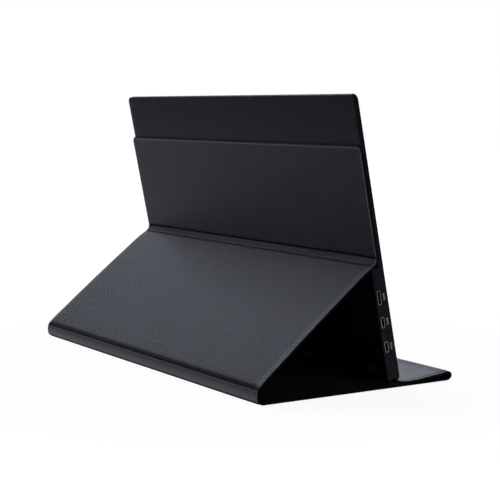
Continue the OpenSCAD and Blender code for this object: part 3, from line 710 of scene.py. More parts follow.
    def layout(self) -> list[Stretch]:
        """Cuts the cover into stretches, where it is nearly straight or pressed flat."""
        spine = {"leather": ("rear_spine_skin",), "lining": ("rear_spine_lining", "rear_spine_board")}
        fold, front = {"leather": ("fold_strip",)}, {"leather": ("front_strip",)}
        back = {"leather": ("back_panel_skin",), "lining": ("back_panel_lining",)}
        prop = {"leather": ("prop_skin",), "lining": ("prop_lining",), "board": ("prop_board",)}
        base = {"leather": ("base_skin",), "lining": ("base_lining",)}
        flap = {"leather": ("flap_skin",), "lining": ("flap_lining",),
                "board": ("flap_board", "flap_magnets")}
        table = [
            ("back_panel", ("display",), back, self.crease(Fold.UPPER, 0.5, 2.4)),
            ("upper_fold", ("display", "fold"), fold, self.crease(Fold.UPPER, 0.5, -3.4)),
            ("lower_fold", ("fold", "prop"), fold, self.crease(Fold.LOWER, 1.6, -2.2)),
            ("prop", ("prop",), prop, self.crease(Fold.REAR_TOP, -0.2, 2.4)),
            ("rear_top_crease", ("prop", "rear_spine"), spine, self.crease(Fold.REAR_TOP, -0.2, -4.4)),
            ("rear_low_crease", ("rear_spine", "base"), spine, self.crease(Fold.REAR_LOW, -5.0)),
            ("base", ("base",), base, self.crease(Fold.FRONT_LOW, 4.6)),
            ("front_low_crease", ("base", "front_loop"), front, self.crease(Fold.FRONT_LOW, 0.0, 3.0)),
            ("front_top_crease", ("front_loop", "flap"), front, self.crease(Fold.FRONT_TOP, 4.4)),
            ("flap", ("flap",), flap, self.section.s[-1]),
        ]
        starts = [0.0, *(row[3] for row in table)]
        return [
            Stretch(name, bodies, start, end, nodes)
            for start, (name, bodies, nodes, end) in zip(starts, table)
        ]

    def creased(self, s: np.ndarray) -> np.ndarray:
        """How much of a hinge the cover is at each place: 0 over a board, 1 where no board lies."""
        rear = self.crease(Fold.REAR_TOP)
        spans = [
            (self.crease(Fold.UPPER) + self.fold_reach[0], self.crease(Fold.LOWER) + self.fold_reach[1]),
            (rear + self.rear_reach[0], rear + self.rear_reach[1]),
        ]
        out, into = self.hinge_slope
        total = sum(plateau(s, (a - out, a + into), (b - into, b + out)) for a, b in spans)
        return np.clip(total, 0, 1)

    def edge_distance(self, x: np.ndarray, s: np.ndarray) -> np.ndarray:
        """Distance in from the cover's outline, whose four free corners are round."""
        r = self.corner_r
        end = np.minimum(s, self.section.s[-1] - s)
        side = self.width / 2 - np.abs(x)
        corner = r - np.hypot(np.clip(r - side, 0, None), np.clip(r - end, 0, None))
        return np.clip(np.where((side < r) & (end < r), corner, np.minimum(side, end)), 0, None)

    def half_width(self, s: np.ndarray) -> np.ndarray:
        """Half the cover's width at each place along it, less at its round corners."""
        end = np.clip(np.minimum(s, self.section.s[-1] - s), 0, self.corner_r)
        return self.width / 2 - self.corner_r * (1 - rounded(end, self.corner_r))

    def outer(self, d: np.ndarray, s: np.ndarray, x: np.ndarray) -> np.ndarray:
        """Height of the leather's face above the middle line.

        Args:
            d: Distance in from the outline.
            s: Place along the cover.
            x: Place across it.

        Returns:
            The height, with its hem, its round edge, its grooves, its wrinkles and a slight sag.
        """
        crease = self.creased(s)
        pressed = self.pressed(s)
        hem = self.hem_drop * pressed * (1 - smooth_step(d - self.hem, *self.hem_slope))
        rim = self.rim_drop * (1 - pressed) * (1 - rounded(d, self.rim))
        raised = self.half_t - (hem + rim) * (1 - self.resting(s))
        raised = raised - self.hinge_thin * crease * smooth_step(d, *self.hinge_margin)
        reach = self.end_share + (1 - self.end_share) * smooth_step(d, *self.groove_margin)
        for groove in self.grooves:
            raised = raised - reach * groove.drop(s)
        ripple = np.sin(x * 0.9 + 2 * np.sin(x * 0.13)) * np.sin(x * 0.37 + s * 1.1)
        raised = raised + self.ripple * crease * ripple
        sag = np.sin(x * 0.021 + s * 0.016) * np.sin(s * 0.05 - x * 0.009)
        raised = raised + self.sag * sag * smooth_step(d, *self.sag_margin)
        edge = self.edge_r - self.edge_flat * self.resting(s)
        return raised - edge * (1 - rounded(d, edge))

    def pressed(self, s: np.ndarray) -> np.ndarray:
        """Whether the hem is pressed down as a band at each place: 0 on the back panel, 1 past the fold."""
        fold = self.crease(Fold.LOWER)
        return smooth_step(s, fold - 0.5, fold + 1.5)

    def resting(self, s: np.ndarray) -> np.ndarray:
        """Whether the leather lies on the floor at each place."""
        start, end = self.crease(Fold.REAR_LOW), self.crease(Fold.FRONT_LOW)
        return plateau(s, (start + 1, start + 3), (end - 3, end - 1))

    def shaded(self, s: np.ndarray) -> np.ndarray:
        """Whether the leather is on the cover's underside, which is painted black as shade."""
        start, end = self.crease(Fold.REAR_LOW), self.crease(Fold.FRONT_LOW)
        return plateau(s, (start - 2.2, start - 0.8), (end, end + 1))

    def spine_wear(self, s: np.ndarray) -> np.ndarray:
        """How far the rear spine's leather is painted paler as a reflection of the floor: more towards its
        foot.
        """
        top, foot = self.grooves[2].place, self.crease(Fold.REAR_LOW)
        return np.clip((s - top) / self.spine_fade, 0, 1) * (1 - smooth_step(s, foot - 3.0, foot - 1.6))

    def leather_under(self, d: np.ndarray, s: np.ndarray, x: np.ndarray) -> np.ndarray:
        """Height of the leather's underside, which lies on the board or, round it, on the lining."""
        over = smooth_step(d - self.hem, *self.board_slope) * (1 - self.creased(s))
        low = self.hinge_lift * self.creased(s) - self.lining_in
        return low + (self.board_top - low) * over

    def lining_over(self, d: np.ndarray, s: np.ndarray, x: np.ndarray) -> np.ndarray:
        """Height of the lining's glued side."""
        return self.hinge_lift * self.creased(s) - self.lining_in + 0 * x

    def inner(self, d: np.ndarray, s: np.ndarray, x: np.ndarray) -> np.ndarray:
        """Height of the lining's open side."""
        drop = self.half_t - self.lining_in - self.lining_r * (1 - rounded(d, self.lining_r))
        return self.lining_over(d, s, x) - drop

    def board_over(self, d: np.ndarray, s: np.ndarray, x: np.ndarray) -> np.ndarray:
        """Height of a board's upper side."""
        return self.board_top - self.board_gap + 0 * d

    def board_under(self, d: np.ndarray, s: np.ndarray, x: np.ndarray) -> np.ndarray:
        """Height of a board's lower side."""
        return self.board_gap - self.lining_in + 0 * d

    def spread(self, low: float, high: float, dense: Sequence[tuple[float, float]]) -> np.ndarray:
        """Numbers from low to high, a step apart, and closer round the dense places.

        Args:
            low: The first number.
            high: The last number.
            dense: Places and how far round each the numbers lie closer.

        Returns:
            The sorted numbers.
        """
        marks = list(np.linspace(low, high, max(2, round((high - low) / self.row_step) + 1)))
        for place, reach in dense:
            marks += list(place + np.linspace(-reach, reach, max(3, round(reach / self.fine_step) + 1)))
        marks = sorted(m for m in marks if low <= m <= high)
        kept = [marks[0]]
        for m in marks[1:]:
            if m - kept[-1] > self.least_step:
                kept.append(m)
        kept[-1] = high
        return np.array(kept)

    def edge_marks(self) -> list[float]:
        """Distances in from an edge at which the mesh needs a line to hold the hem's shape."""
        arc = [self.edge_r * (1 - math.cos(math.radians(a))) for a in (0, 15, 30, 45, 60, 75, 90)]
        rim = [1.15, 1.4, 1.7, 2.0, 2.4, 2.9]
        hem = [self.hem + k for k in (-0.8, -0.5, -0.25, 0, 0.25, 0.5, 0.9)]
        return sorted([*arc, *rim, *hem, 6.0])

    def rows(self, start: float, end: float) -> np.ndarray:
        """Places along the cover at which a stretch's mesh has a line across."""
        first, last = self.groove_rows
        dense = [(groove.place, max(first * groove.before, last * groove.after)) for groove in self.grooves]
        dense.append((self.crease(Fold.UPPER) + self.fold_rows[0], self.fold_rows[1]))
        marks = [start, end]
        total = self.section.s[-1]
        marks += [d for d in self.edge_marks() if start <= d <= end]
        marks += [total - d for d in self.edge_marks() if start <= total - d <= end]
        plain = self.spread(start, end, dense)
        kept = sorted(marks)
        return np.array(sorted([*kept, *[m for m in plain if min(abs(m - k) for k in kept) > self.row_gap]]))

    def columns(self) -> np.ndarray:
        """Places across the cover at which the mesh has a line along it: 0 is its middle."""
        marks = np.array(self.edge_marks())
        half = self.width / 2
        inner = np.linspace(-1, 1, self.columns_inside) * (half - self.columns_from)
        return np.concatenate([marks - half, inner, (half - marks)[::-1]])

    def layer(self, name: str, finish: Finish, rows: np.ndarray, inset: float,
              over: Callable, under: Callable) -> bpy.types.Object:
        """Makes one layer of the cover as a closed mesh.

        Args:
            name: The piece's name.
            finish: Its finish.
            rows: Places along the cover of its lines across.
            inset: How far its sides lie in from the cover's sides.
            over: Gives the height of its upper side.
            under: Gives the height of its lower side.

        Returns:
            The piece.
        """
        columns = self.columns()
        half = self.half_width(rows)[:, None] - inset
        x = columns[None, :] * (1 - inset / (self.width / 2)) + 0 * rows[:, None]
        x = np.clip(x, -half, half)
        s = rows[:, None] + 0 * x
        d = self.edge_distance(x, s)
        sheets = []
        for height in (over(d, s, x), under(d, s, x)):
            y, z = self.section.at(s, height)
            sheets.append(np.stack([x, y, z], axis=-1).reshape(-1, 3))
        n, m = x.shape
        count = n * m
        grid = np.arange(count).reshape(n, m)
        quads = np.stack([grid[:-1, :-1], grid[1:, :-1], grid[1:, 1:], grid[:-1, 1:]], axis=-1)
        quads = quads.reshape(-1, 4)
        rim = np.concatenate([grid[0, :], grid[1:, -1], grid[-1, -2::-1], grid[-2:0:-1, 0]])
        turned = np.roll(rim, -1)
        walls = np.stack([rim, rim + count, turned + count, turned], axis=-1)
        faces = [*quads[:, ::-1].tolist(), *(quads + count).tolist(), *walls[:, ::-1].tolist()]
        made = plain_mesh(name, np.vstack(sheets) * MM, faces, finish)
        self.mark(made.data, x, s, d)
        self.weld(made.data)
        return made

    def rubbing(self, d: np.ndarray, s: np.ndarray) -> np.ndarray:
        """How far the leather is painted paler: painted highlights along its hem and rim, and a painted
        reflection of the floor on the rear spine towards its foot.
        """
        pressed, foot = self.pressed(s), self.spine_wear(s)
        hem = self.hem_wear * (1 - smooth_step(d, self.hem - 1.0, self.hem))
        band = hem + self.hem_line.at(d) + self.edge_line.at(d)
        along = self.rim_end + (1 - self.rim_end) * smooth_step(s, *self.rim_span)
        rim = along * self.rim_line.at(d)
        # Painted floor reflection on the rear spine, with a painted highlight along its rim.
        spine = self.foot_wear * foot + foot * self.foot_line.at(d)
        return np.clip(band * pressed * (1 - foot) + rim * (1 - pressed) + spine, 0, 2)

    def blackness(self, d: np.ndarray, s: np.ndarray) -> np.ndarray:
        """How black the leather is: raw black at its cut edges with a painted contact shadow beside them,
        and painted shade underneath and in its grooves.
        """
        raw = np.maximum(1 - smooth_step(d, *self.cut_edge), self.shaded(s))
        for groove in self.grooves:
            raw = np.maximum(raw, groove.shade(s))
        return raw

    def mark(self, mesh: bpy.types.Mesh, x: np.ndarray, s: np.ndarray, d: np.ndarray) -> None:
        """Gives the mesh its map along the cover, its crease value, its painted highlight value, and its cut
        value, which holds raw black, painted contact shadow and painted shade.
        """
        flat = np.tile(np.column_stack([x.ravel(), s.ravel()]) * MM, (2, 1))
        corners = np.zeros(len(mesh.loops), int)
        mesh.loops.foreach_get("vertex_index", corners)
        uv = mesh.uv_layers.new(name="cover")
        uv.data.foreach_set("uv", flat[corners].astype(np.float32).ravel())
        given = {"crease": self.creased(s), "rub": self.rubbing(d, s), "cut": self.blackness(d, s)}
        for name, values in given.items():
            held = mesh.attributes.new(name, "FLOAT", "POINT")
            held.data.foreach_set("value", np.tile(values.ravel(), 2).astype(np.float32))

    @staticmethod
    def weld(mesh: bpy.types.Mesh) -> None:
        """Merges the points that coincide along the layer's rim, and turns its faces outwards."""
        bm = bmesh.new()
        bm.from_mesh(mesh)
        bmesh.ops.remove_doubles(bm, verts=bm.verts, dist=SAME_POINT)
        bmesh.ops.dissolve_degenerate(bm, dist=1e-7, edges=bm.edges)
        bmesh.ops.recalc_face_normals(bm, faces=bm.faces)
        bm.to_mesh(mesh)
        bm.free()
        smoothed(mesh)

    def attach(self, piece: bpy.types.Object, part: Stretch) -> None:
        """Lets a piece ride on its body; a piece between two bodies stays fixed where it lies."""
        if len(part.bodies) == 2:
            start, end = (self.section.at(np.array([s]), np.array([0.0])) for s in (part.start, part.end))
            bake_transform(piece)
            return
        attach(piece, part.bodies[0])

    def build(self) -> None:
        """Makes every stretch's leather, lining and board, and lets those on one body ride on it."""
        for part in self.stretches:
            rows = self.rows(part.start, part.end)
            pieces = {
                "leather": self.layer(f"{part.name}_leather", Finishes.leather, rows, 0.0,
                                      self.outer, self.leather_under),
                "lining": self.layer(f"{part.name}_lining_cloth", Finishes.lining, rows, 0.0,
                                     self.lining_over, self.inner),
            }
            if "board" in part.nodes:
                last = min(part.end - self.board_short, self.section.s[-1] - self.hem - self.board_end)
                inside = np.unique(np.clip(rows, part.start + self.board_short, last))
                pieces["board"] = self.layer(f"{part.name}_stiffener", Finishes.greyboard, inside,
                                             self.hem + self.board_in, self.board_over, self.board_under)
            for kind, piece in pieces.items():
                self.attach(piece, part)
                if kind in part.nodes:
                    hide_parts(*part.nodes[kind])
            log.info("cover: %s", part.name)


class Growth(Tree):
    """A Geometry Nodes tree that grows a piece from bare points or lines."""

    def __init__(self, name: str, start: str, sizes: Sequence[str]) -> None:
        """Makes the tree's inputs.

        Args:
            name: The tree's name.
            start: Name of the input for the points or lines.
            sizes: Names of the inputs for its sizes.
        """
        super().__init__(bpy.data.node_groups.new(name, "GeometryNodeTree"))
        face = self.tree.interface
        kinds = {start: "Geometry", **dict.fromkeys(sizes, "Float"), "Finish": "Material"}
        for socket, kind in kinds.items():
            face.new_socket(socket, in_out="INPUT", socket_type=f"NodeSocket{kind}")
        face.new_socket("Piece", in_out="OUTPUT", socket_type="NodeSocketGeometry")
        self.given = self.add("NodeGroupInput").outputs

    def size(self, name: str) -> Num:
        """One of the tree's sizes."""
        return Num(self, self.given[name])

    def vector(self, x: float | Num = 0.0, y: float | Num = 0.0, z: float | Num = 0.0) -> Num:
        """Three numbers as one vector."""
        return Num(self, self.add("ShaderNodeCombineXYZ", {0: x, 1: y, 2: z}).outputs[0])

    def moved(self, node: bpy.types.Node, by: Num) -> bpy.types.Node:
        """Moves what a node makes."""
        return self.add("GeometryNodeTransform", {0: node.outputs[0], "Translation": by})

    def end(self, node: bpy.types.Node) -> Growth:
        """Makes what a node gives real and dressed, and returns the finished tree."""
        real = self.add("GeometryNodeRealizeInstances", {0: node.outputs[0]})
        inputs = {0: real.outputs[0], "Material": self.given["Finish"]}
        dressed = self.add("GeometryNodeSetMaterial", inputs)
        self.add("NodeGroupOutput", {0: dressed.outputs[0]})
        return self

    def grow(self, name: str, points: list[Vector], edges: list[tuple[int, int]],
             values: dict) -> bpy.types.Object:
        """Runs the tree on bare points and lines, and keeps what comes out as a plain mesh.

        Args:
            name: The new piece's name.
            points: The points, in metres.
            edges: The lines, as pairs of point numbers.
            values: The tree's inputs, by name.

        Returns:
            The new piece, at the origin.
        """
        line = bpy.data.meshes.new(name + "_line")
        line.from_pydata([tuple(p) for p in points], edges, [])
        carrier = placed(name + "_line", line)
        modifier = carrier.modifiers.new("nodes", "NODES")
        modifier.node_group = self.tree
        for item in self.tree.interface.items_tree:
            if item.in_out == "INPUT" and item.name in values:
                modifier[item.identifier] = values[item.name]
        graph = bpy.context.evaluated_depsgraph_get()
        mesh = bpy.data.meshes.new_from_object(carrier.evaluated_get(graph))
        mesh.name = name
        mesh.shade_smooth()
        bpy.data.objects.remove(carrier)
        return placed(name, mesh)


@dataclass(frozen=True)
class ScrewRow:
    """Screws with a cross recess, one at each given point.

    Taper is the head's width underneath and arm the recess's length, as shares of the head's radius.
    """

    head_r: float
    head_t: float
    shank_r: float
    shank_l: float
    recess_w: float = 0.5
    taper: float = 0.86
    arm: float = 1.25
    head_sides: int = 28
    shank_sides: int = 16
    most_turn: float = 1.5
    seed: int = 4

    def tree(self) -> Growth:
        """Builds the tree that sets a screw at each point, turned by a fixed random angle."""
        sizes = ("Head Radius", "Head Height", "Shank Radius", "Shank Length", "Recess Width", "Lean")
        tree = Growth("screw_row", "Places", sizes)
        radius, height, shank_r, length, recess, lean = (tree.size(name) for name in sizes)
        head = tree.add(
            "GeometryNodeMeshCone",
            {"Vertices": self.head_sides, "Radius Top": radius, "Radius Bottom": radius * self.taper,
             "Depth": height},
        )
        cut = tree.add("GeometryNodeMeshBoolean", {"Mesh 1": head.outputs[0]}, operation="DIFFERENCE")
        lifted = tree.vector(z=height)
        for wide, deep in ((radius * self.arm, recess), (recess, radius * self.arm)):
            bar = tree.add("GeometryNodeMeshCube", {"Size": tree.vector(wide, deep, height)})
            tree.put(cut.inputs["Mesh 2"], tree.moved(bar, lifted).outputs[0])
        shank = tree.add(
            "GeometryNodeMeshCylinder",
            {"Vertices": self.shank_sides, "Radius": shank_r, "Depth": length},
        )
        whole = tree.add("GeometryNodeJoinGeometry", {0: cut.outputs[0]})
        tree.put(whole.inputs[0], tree.moved(shank, tree.vector(z=length * -0.5)).outputs[0])
        spin = tree.add(
            "FunctionNodeRandomValue",
            {"Min": 0.0, "Max": self.most_turn, "Seed": self.seed},
            data_type="FLOAT",
        )
        turn = tree.vector(z=Num(tree, spin.outputs["Value"]))
        own = tree.add("FunctionNodeEulerToRotation", {0: turn}).outputs[0]
        tilt = tree.add("FunctionNodeEulerToRotation", {0: tree.vector(lean)}).outputs[0]
        both = tree.add("FunctionNodeRotateRotation", {0: tilt, 1: own}, rotation_space="LOCAL")
        row = {"Points": tree.given["Places"], "Instance": whole.outputs[0], "Rotation": both.outputs[0]}
        return tree.end(tree.add("GeometryNodeInstanceOnPoints", row))

    def set_in(self, name: str, places: list[Vector], lean: float, finish: Finish) -> bpy.types.Object:
        """Sets a screw at each place.

        Args:
            name: The piece's name.
            places: Where the heads' middles are, in metres.
            lean: Turn about the x axis that lays the screws along their holes.
            finish: The screws' finish.

        Returns:
            The screws, as one plain mesh.
        """
        values = {
            "Head Radius": self.head_r * MM, "Head Height": self.head_t * MM,
            "Shank Radius": self.shank_r * MM, "Shank Length": self.shank_l * MM,
            "Recess Width": self.recess_w * MM, "Lean": lean, "Finish": finish.material(),
        }
        return self.tree().grow(name, places, [], values)


@dataclass(frozen=True)
class WireMesh:
    """Fine woven wire, as lies behind sound slots."""

    pitch: float = 0.7
    wire_r: float = 0.09
    sides: int = 4

    def tree(self) -> Growth:
        """Builds the tree that lays a round wire along each given line."""
        tree = Growth("wire_mesh", "Lines", ("Wire Radius",))
        curve = tree.add("GeometryNodeMeshToCurve", {0: tree.given["Lines"]})
        ring = tree.add(
            "GeometryNodeCurvePrimitiveCircle",
            {"Resolution": self.sides, "Radius": tree.given["Wire Radius"]},
        )
        inputs = {0: curve.outputs[0], 1: ring.outputs[0], "Fill Caps": True}
        return tree.end(tree.add("GeometryNodeCurveToMesh", inputs))

    def weave(self, name: str, patches: list[list[Vector]], finish: Finish) -> bpy.types.Object:
        """Weaves a patch of mesh over each four-sided place.

        Args:
            name: The piece's name.
            patches: The corners of each patch, in order round it, in metres.
            finish: The wires' finish.

        Returns:
            The mesh, as one piece.
        """
        points, edges = [], []
        for a, b, c, d in patches:
            for p, q, r, s in ((a, b, d, c), (a, d, b, c)):
                count = int((q - p).length / (self.pitch * MM))
                for i in range(1, count):
                    edges.append((len(points), len(points) + 1))
                    points += [p.lerp(q, i / count), r.lerp(s, i / count)]
        values = {"Wire Radius": self.wire_r * MM, "Finish": finish.material()}
        return self.tree().grow(name, points, edges, values)


@dataclass
class Monitor:
    """The monitor: a thin housing with a thick lower part, its bezel, screen, sockets and buttons.

    Sizes are in millimetres. Heights are measured up the screen's face, and depths behind it.
    """

    frame: dict
    lean: float = 12.0
    width: float = 355.0
    height: float = 230.0
    thin: float = 4.5
    thick: float = 12.0
    thick_h: float = 94.5
    corner: float = 5.1
    long_edge: float = 14.0
    on_face: float = 0.02
    shell_round: float = 0.35
    bezel_round: float = 0.3
    key_round: float = 0.25
    socket_heights: tuple[float, ...] = (30.7, 50.8, 70.9)
    mark_steps: tuple[float, ...] = (2.0, 0.0, -2.0)
    mark_depths: tuple[float, float] = (3.1, 4.6)
    mark_len: float = 1.5
    mark_out: float = 0.03
    mark_t: float = 0.05
    screw_x: tuple[float, ...] = (-164.0, -115.5, 115.5, 164.0)
    screw_up: float = 12.0
    screw_depth: float = 11.3
    mesh_depth: float = 10.65
    mesh_half: float = 15.0
    mesh_heights: tuple[float, float] = (4.5, 18.5)

    def __post_init__(self) -> None:
        """Finds the foot of the screen's face, from which every place is measured."""
        low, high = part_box("front_bezel")
        lean = math.radians(self.lean)
        self.foot = (low.y / MM, high.z / MM - self.height * math.cos(lean))

    def local(self, point: Vector) -> tuple[float, float, float]:
        """A point's place across, behind and up the screen's face, in millimetres."""
        lean = math.radians(self.lean)
        y, z = point.y / MM - self.foot[0], point.z / MM - self.foot[1]
        depth = y * math.cos(lean) - z * math.sin(lean)
        return point.x / MM, depth, y * math.sin(lean) + z * math.cos(lean)

    def world(self, x: float, depth: float, up: float) -> Vector:
        """The point at a place across, behind and up the screen's face, in metres."""
        lean = math.radians(self.lean)
        y = self.foot[0] + up * math.sin(lean) + depth * math.cos(lean)
        z = self.foot[1] + up * math.cos(lean) - depth * math.sin(lean)
        return Vector((x, y, z)) * MM

    def on(self, value: float, *faces: float) -> bool:
        """Whether a place lies on one of the faces."""
        return min(abs(value - face) for face in faces) < self.on_face

    def outside(self, edge: bmesh.types.BMEdge) -> bool:
        """Whether a sharp edge belongs to the monitor's outer form, and not to one of its openings."""
        a, b = (self.local(v.co) for v in edge.verts)
        x, depth, up = ((p + q) / 2 for p, q in zip(a, b))
        half = self.width / 2
        rear = self.on(depth, self.thin, self.thick)
        ledge = self.on(up, self.thick_h)
        long = (Vector(a) - Vector(b)).length > self.long_edge
        corner = abs(x) > half - self.corner and not self.corner <= up <= self.height - self.corner
        border = self.on(abs(x), half) or self.on(up, 0, self.height)
        return (rear or self.on(depth, 0) or ledge) and (long or corner) and (
            border or ledge or rear or corner)

    def soften(self, node: str, name: str, chosen: Callable[[bmesh.types.BMEdge], bool],
               width: float, finish: Finish) -> None:
        """Copies a solid and rounds its chosen sharp edges. The copy stands for the solid.

        Args:
            node: The solid's node.
            name: The new piece's name.
            chosen: Tells which sharp edges are rounded.
            width: Width of the rounding, in millimetres.
            finish: The piece's finish.
        """
        source = self.frame["nodes"][node]
        bm = bmesh.new()
        bm.from_mesh(source.data)
        bmesh.ops.remove_doubles(bm, verts=bm.verts, dist=SAME_POINT)
        bmesh.ops.dissolve_limit(bm, angle_limit=math.radians(0.4), verts=bm.verts, edges=bm.edges)
        joined = [edge for edge in bm.edges if len(edge.link_faces) == 2]
        sharp = [edge for edge in joined if edge.calc_face_angle(0) > SHARP and chosen(edge)]
        bmesh.ops.bevel(bm, geom=sharp, offset=width * MM, segments=3, profile=0.5, affect="EDGES",
                        clamp_overlap=True)
        bmesh.ops.triangulate(bm, faces=bm.faces)
        mesh = bpy.data.meshes.new(name)
        bm.to_mesh(mesh)
        bm.free()
        mesh.materials.append(finish.material())
        smoothed(mesh)
        made = placed(name, mesh)
        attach(made, source["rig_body"])
        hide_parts(node)

    def marks(self) -> None:
        """Small plain printed marks beside the sockets, three short bars each."""
        points, faces = [], []
        x = -self.width / 2 - self.mark_out
        near, far = self.mark_depths
        for up in self.socket_heights:
            for step in self.mark_steps:
                low, high = up + step - self.mark_len / 2, up + step + self.mark_len / 2
                faces.append(list(range(len(points), len(points) + 4)))
                corners = ((near, low), (far, low), (far, high), (near, high))
                points += [self.world(x, depth, z) for depth, z in corners]
        made = plain_mesh("socket_marks", points, faces, Finishes.mark)
        thick = made.modifiers.new("thick", "SOLIDIFY")
        thick.thickness = self.mark_t * MM
        thick.offset = 0
        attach(made, "display")

    def screws(self) -> None:
        """Sets the housing's four screws."""
        places = [self.world(x, self.screw_depth, self.screw_up) for x in self.screw_x]
        row = ScrewRow(head_r=1.75, head_t=0.9, shank_r=0.8, shank_l=6.8)
        piece = row.set_in("housing_screw_set", places, math.radians(-90 - self.lean), Finishes.screw)
        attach(piece, "display")
        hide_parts("housing_screws")

    def sound_mesh(self) -> None:
        """Lays woven mesh behind the two fields of sound slots."""
        patches = []
        half = self.mesh_half
        lowest, highest = self.mesh_heights
        for name in ("speaker_left", "speaker_right"):
            low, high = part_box(name)
            mid = (low.x + high.x) / 2 / MM
            corners = ((-half, lowest), (half, lowest), (half, highest), (-half, highest))
            patches.append([self.world(mid + dx, self.mesh_depth, up) for dx, up in corners])
        piece = WireMesh().weave("sound_mesh", patches, Finishes.wire)
        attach(piece, "display")

    def build(self) -> None:
        """Rounds the edges of what shows and dresses it."""
        self.soften("rear_housing", "housing_shell", self.outside, self.shell_round, Finishes.housing)
        self.soften("front_bezel", "screen_bezel", self.outside, self.bezel_round, Finishes.bezel)
        for key in ("power", "plus", "minus"):
            self.soften(f"{key}_button", f"{key}_key_cap", lambda edge: True, self.key_round,
                        Finishes.key)
        self.marks()
        self.screws()
        self.sound_mesh()
        log.info("monitor: shell, bezel, keys, marks, screws and sound mesh")


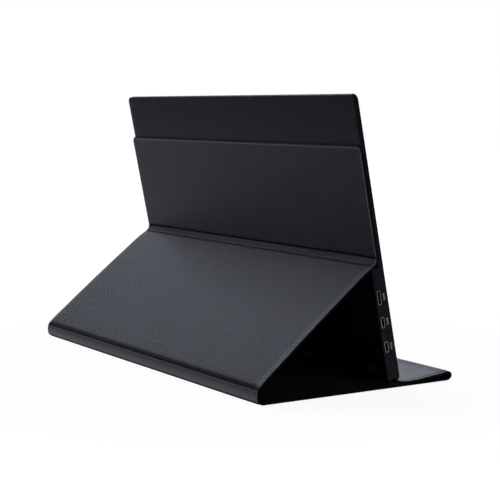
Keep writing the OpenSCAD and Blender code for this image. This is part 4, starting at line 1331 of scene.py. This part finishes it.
@dataclass
class Studio:
    """The floor, the soft lights and the camera.

    The camera's place, lens and sensor and the floor's drop are in millimetres, and other lengths in
    metres. Each lamp has a name, a direction and a height in degrees, and a power in watts. The floor's
    white and gloss change with the distance from the object, over their spans.
    """

    camera_at: tuple[float, float, float] = (-969.41, 627.94, 212.57)
    azimuth: float = 236.352
    elevation: float = 5.837
    roll: float = 0.502
    lens: float = 95.284
    sensor: float = 36.0
    floor_size: float = 12.0
    lamp_size: float = 1.5
    lamp_far: float = 3.0
    aim: tuple[float, float, float] = (0.0, 0.0, 0.08)
    fill: float = 0.05
    mirrored: float = 0.04
    tint: tuple[float, float, float] = (0.96, 1.0, 1.14)
    lamps: tuple[tuple[str, float, float, float], ...] = (
        ("side_key", 8, 46, 40.0),
        ("overhead", 0, 68, 5.0),
        ("overhead_rear", 45, 68, 3.0),
        ("low_front", 315, 15, 12.0),
        ("near_side", 190, 30, 2.5),
    )
    floor_drop: float = 0.25
    floor_colour: tuple[float, float, float] = (0.8, 0.8, 0.8)
    glow: float = 1.08
    white_near: float = 0.87
    white_span: tuple[float, float] = (0.22, 0.6)
    gloss_near: float = 0.17
    gloss_fall: float = 0.15
    gloss_span: tuple[float, float] = (0.2, 0.7)

    def camera(self) -> None:
        """Places the camera at the photograph's point of view."""
        a, e, r = (math.radians(v) for v in (self.azimuth, self.elevation, self.roll))
        back = Vector((math.sin(a) * math.cos(e), -math.cos(a) * math.cos(e), math.sin(e)))
        right = Vector((math.cos(a), math.sin(a), 0))
        up = back.cross(right)
        right, up = math.cos(r) * right + math.sin(r) * up, math.cos(r) * up - math.sin(r) * right
        data = bpy.data.cameras.new("camera")
        data.lens = self.lens
        data.sensor_width = self.sensor
        data.clip_start, data.clip_end = 0.01, 100.0
        camera = placed("camera", data)
        turn = Matrix((right, up, back)).transposed().to_4x4()
        camera.matrix_world = Matrix.Translation(Vector(self.camera_at) * MM) @ turn
        bpy.context.scene.camera = camera

    def lamp(self, name: str, azimuth: float, elevation: float, power: float) -> None:
        """Adds a soft square lamp that faces the object.

        Args:
            name: Its name.
            azimuth: Its direction from the x axis, in degrees.
            elevation: Its height, in degrees.
            power: Its power in watts.
        """
        data = bpy.data.lights.new(name, "AREA")
        data.shape = "SQUARE"
        data.size = self.lamp_size
        data.energy = power
        data.color = self.tint
        lamp = placed(name, data)
        a, e = math.radians(azimuth), math.radians(elevation)
        way = Vector((math.cos(e) * math.cos(a), math.cos(e) * math.sin(a), math.sin(e)))
        lamp.location = way * self.lamp_far
        lamp.rotation_euler = (Vector(self.aim) - lamp.location).to_track_quat("-Z", "Y").to_euler()

    def backdrop(self, tree: Tree, looked_at: float | Num, mirrored: float | Num) -> Num:
        """How much plain white a ray sees.

        Args:
            tree: The tree of the floor or of the world.
            looked_at: The white that the camera sees, and what is clear lets through.
            mirrored: The white that shows in a gloss.

        Returns:
            The amount. It is 0 for the rays that light the object.
        """
        path = tree.add("ShaderNodeLightPath").outputs
        clear = Num(tree, path["Is Camera Ray"]).maths("MAXIMUM", Num(tree, path["Is Transmission Ray"]))
        return clear * looked_at + Num(tree, path["Is Glossy Ray"]) * mirrored

    def floor(self) -> None:
        """Lays a pale floor that keeps a soft shadow, and turns plain white away from the object."""
        half, z = self.floor_size / 2, -self.floor_drop * MM
        corners = [(-half, -half, z), (half, -half, z), (half, half, z), (-half, half, z)]
        white = Finish("pale_floor", self.floor_colour, 0.8)
        floor = plain_mesh("floor", corners, [[0, 1, 2, 3]], white)
        tree = Tree(white.material().node_tree)
        matt = tree.add("ShaderNodeBsdfDiffuse", {"Color": (*self.floor_colour, 1.0)})
        glow = tree.add("ShaderNodeEmission", {"Color": (1, 1, 1, 1), "Strength": self.glow})
        spot = tree.add("ShaderNodeTexCoord").outputs["Object"]
        away = Num(tree, tree.add("ShaderNodeVectorMath", {0: spot}, operation="LENGTH").outputs["Value"])
        looked_at = away.ramp(*self.white_span) * (1 - self.white_near) + self.white_near
        mirrored = away.ramp(*self.gloss_span) * -self.gloss_fall + self.gloss_near
        seen = self.backdrop(tree, looked_at, mirrored)
        mix = tree.add("ShaderNodeMixShader", {0: seen, 1: matt.outputs[0], 2: glow.outputs[0]})
        tree.add("ShaderNodeOutputMaterial", {"Surface": mix.outputs[0]})

    def world(self) -> None:
        """Surrounds the scene with soft light, and shows white behind it."""
        world = bpy.data.worlds.new("studio")
        bpy.context.scene.world = world
        world.use_nodes = True
        tree = Tree(world.node_tree)
        strength = self.backdrop(tree, 1 - self.fill, self.mirrored) + self.fill
        sky = tree.add("ShaderNodeBackground", {"Color": (1, 1, 1, 1), "Strength": strength})
        tree.add("ShaderNodeOutputWorld", {"Surface": sky.outputs[0]})

    def build(self) -> None:
        """Sets the view and lights the scene."""
        bpy.context.scene.view_settings.view_transform = "Standard"
        self.camera()
        self.floor()
        self.world()
        for lamp in self.lamps:
            self.lamp(*lamp)
        log.info("studio: camera, floor, lights")


def dress(frame: dict) -> None:
    """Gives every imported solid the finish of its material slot."""
    special = {
        "status_lens": Finishes.lens,
        "magnet_plate": Finishes.steel,
        "mini_hdmi_socket": Finishes.copper_shell,
        "usb_c_socket_upper": Finishes.steel_shell,
        "usb_c_socket_lower": Finishes.steel_shell,
    }
    for part in frame["record"]["subparts"]:
        node = frame["nodes"][part["node"]]
        finish = special.get(part["node"], Finishes.by_slot[part["material_slot"]])
        node.data.materials.clear()
        node.data.materials.append(finish.material())
        smoothed(node.data)


def main() -> None:
    """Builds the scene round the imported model."""
    logging.basicConfig(level=logging.INFO, format="%(message)s")
    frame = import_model()
    Studio().build()
    dress(frame)
    Cover(frame).build()
    Monitor(frame).build()
    bpy.context.view_layer.update()


if __name__ == "__main__":
    main()
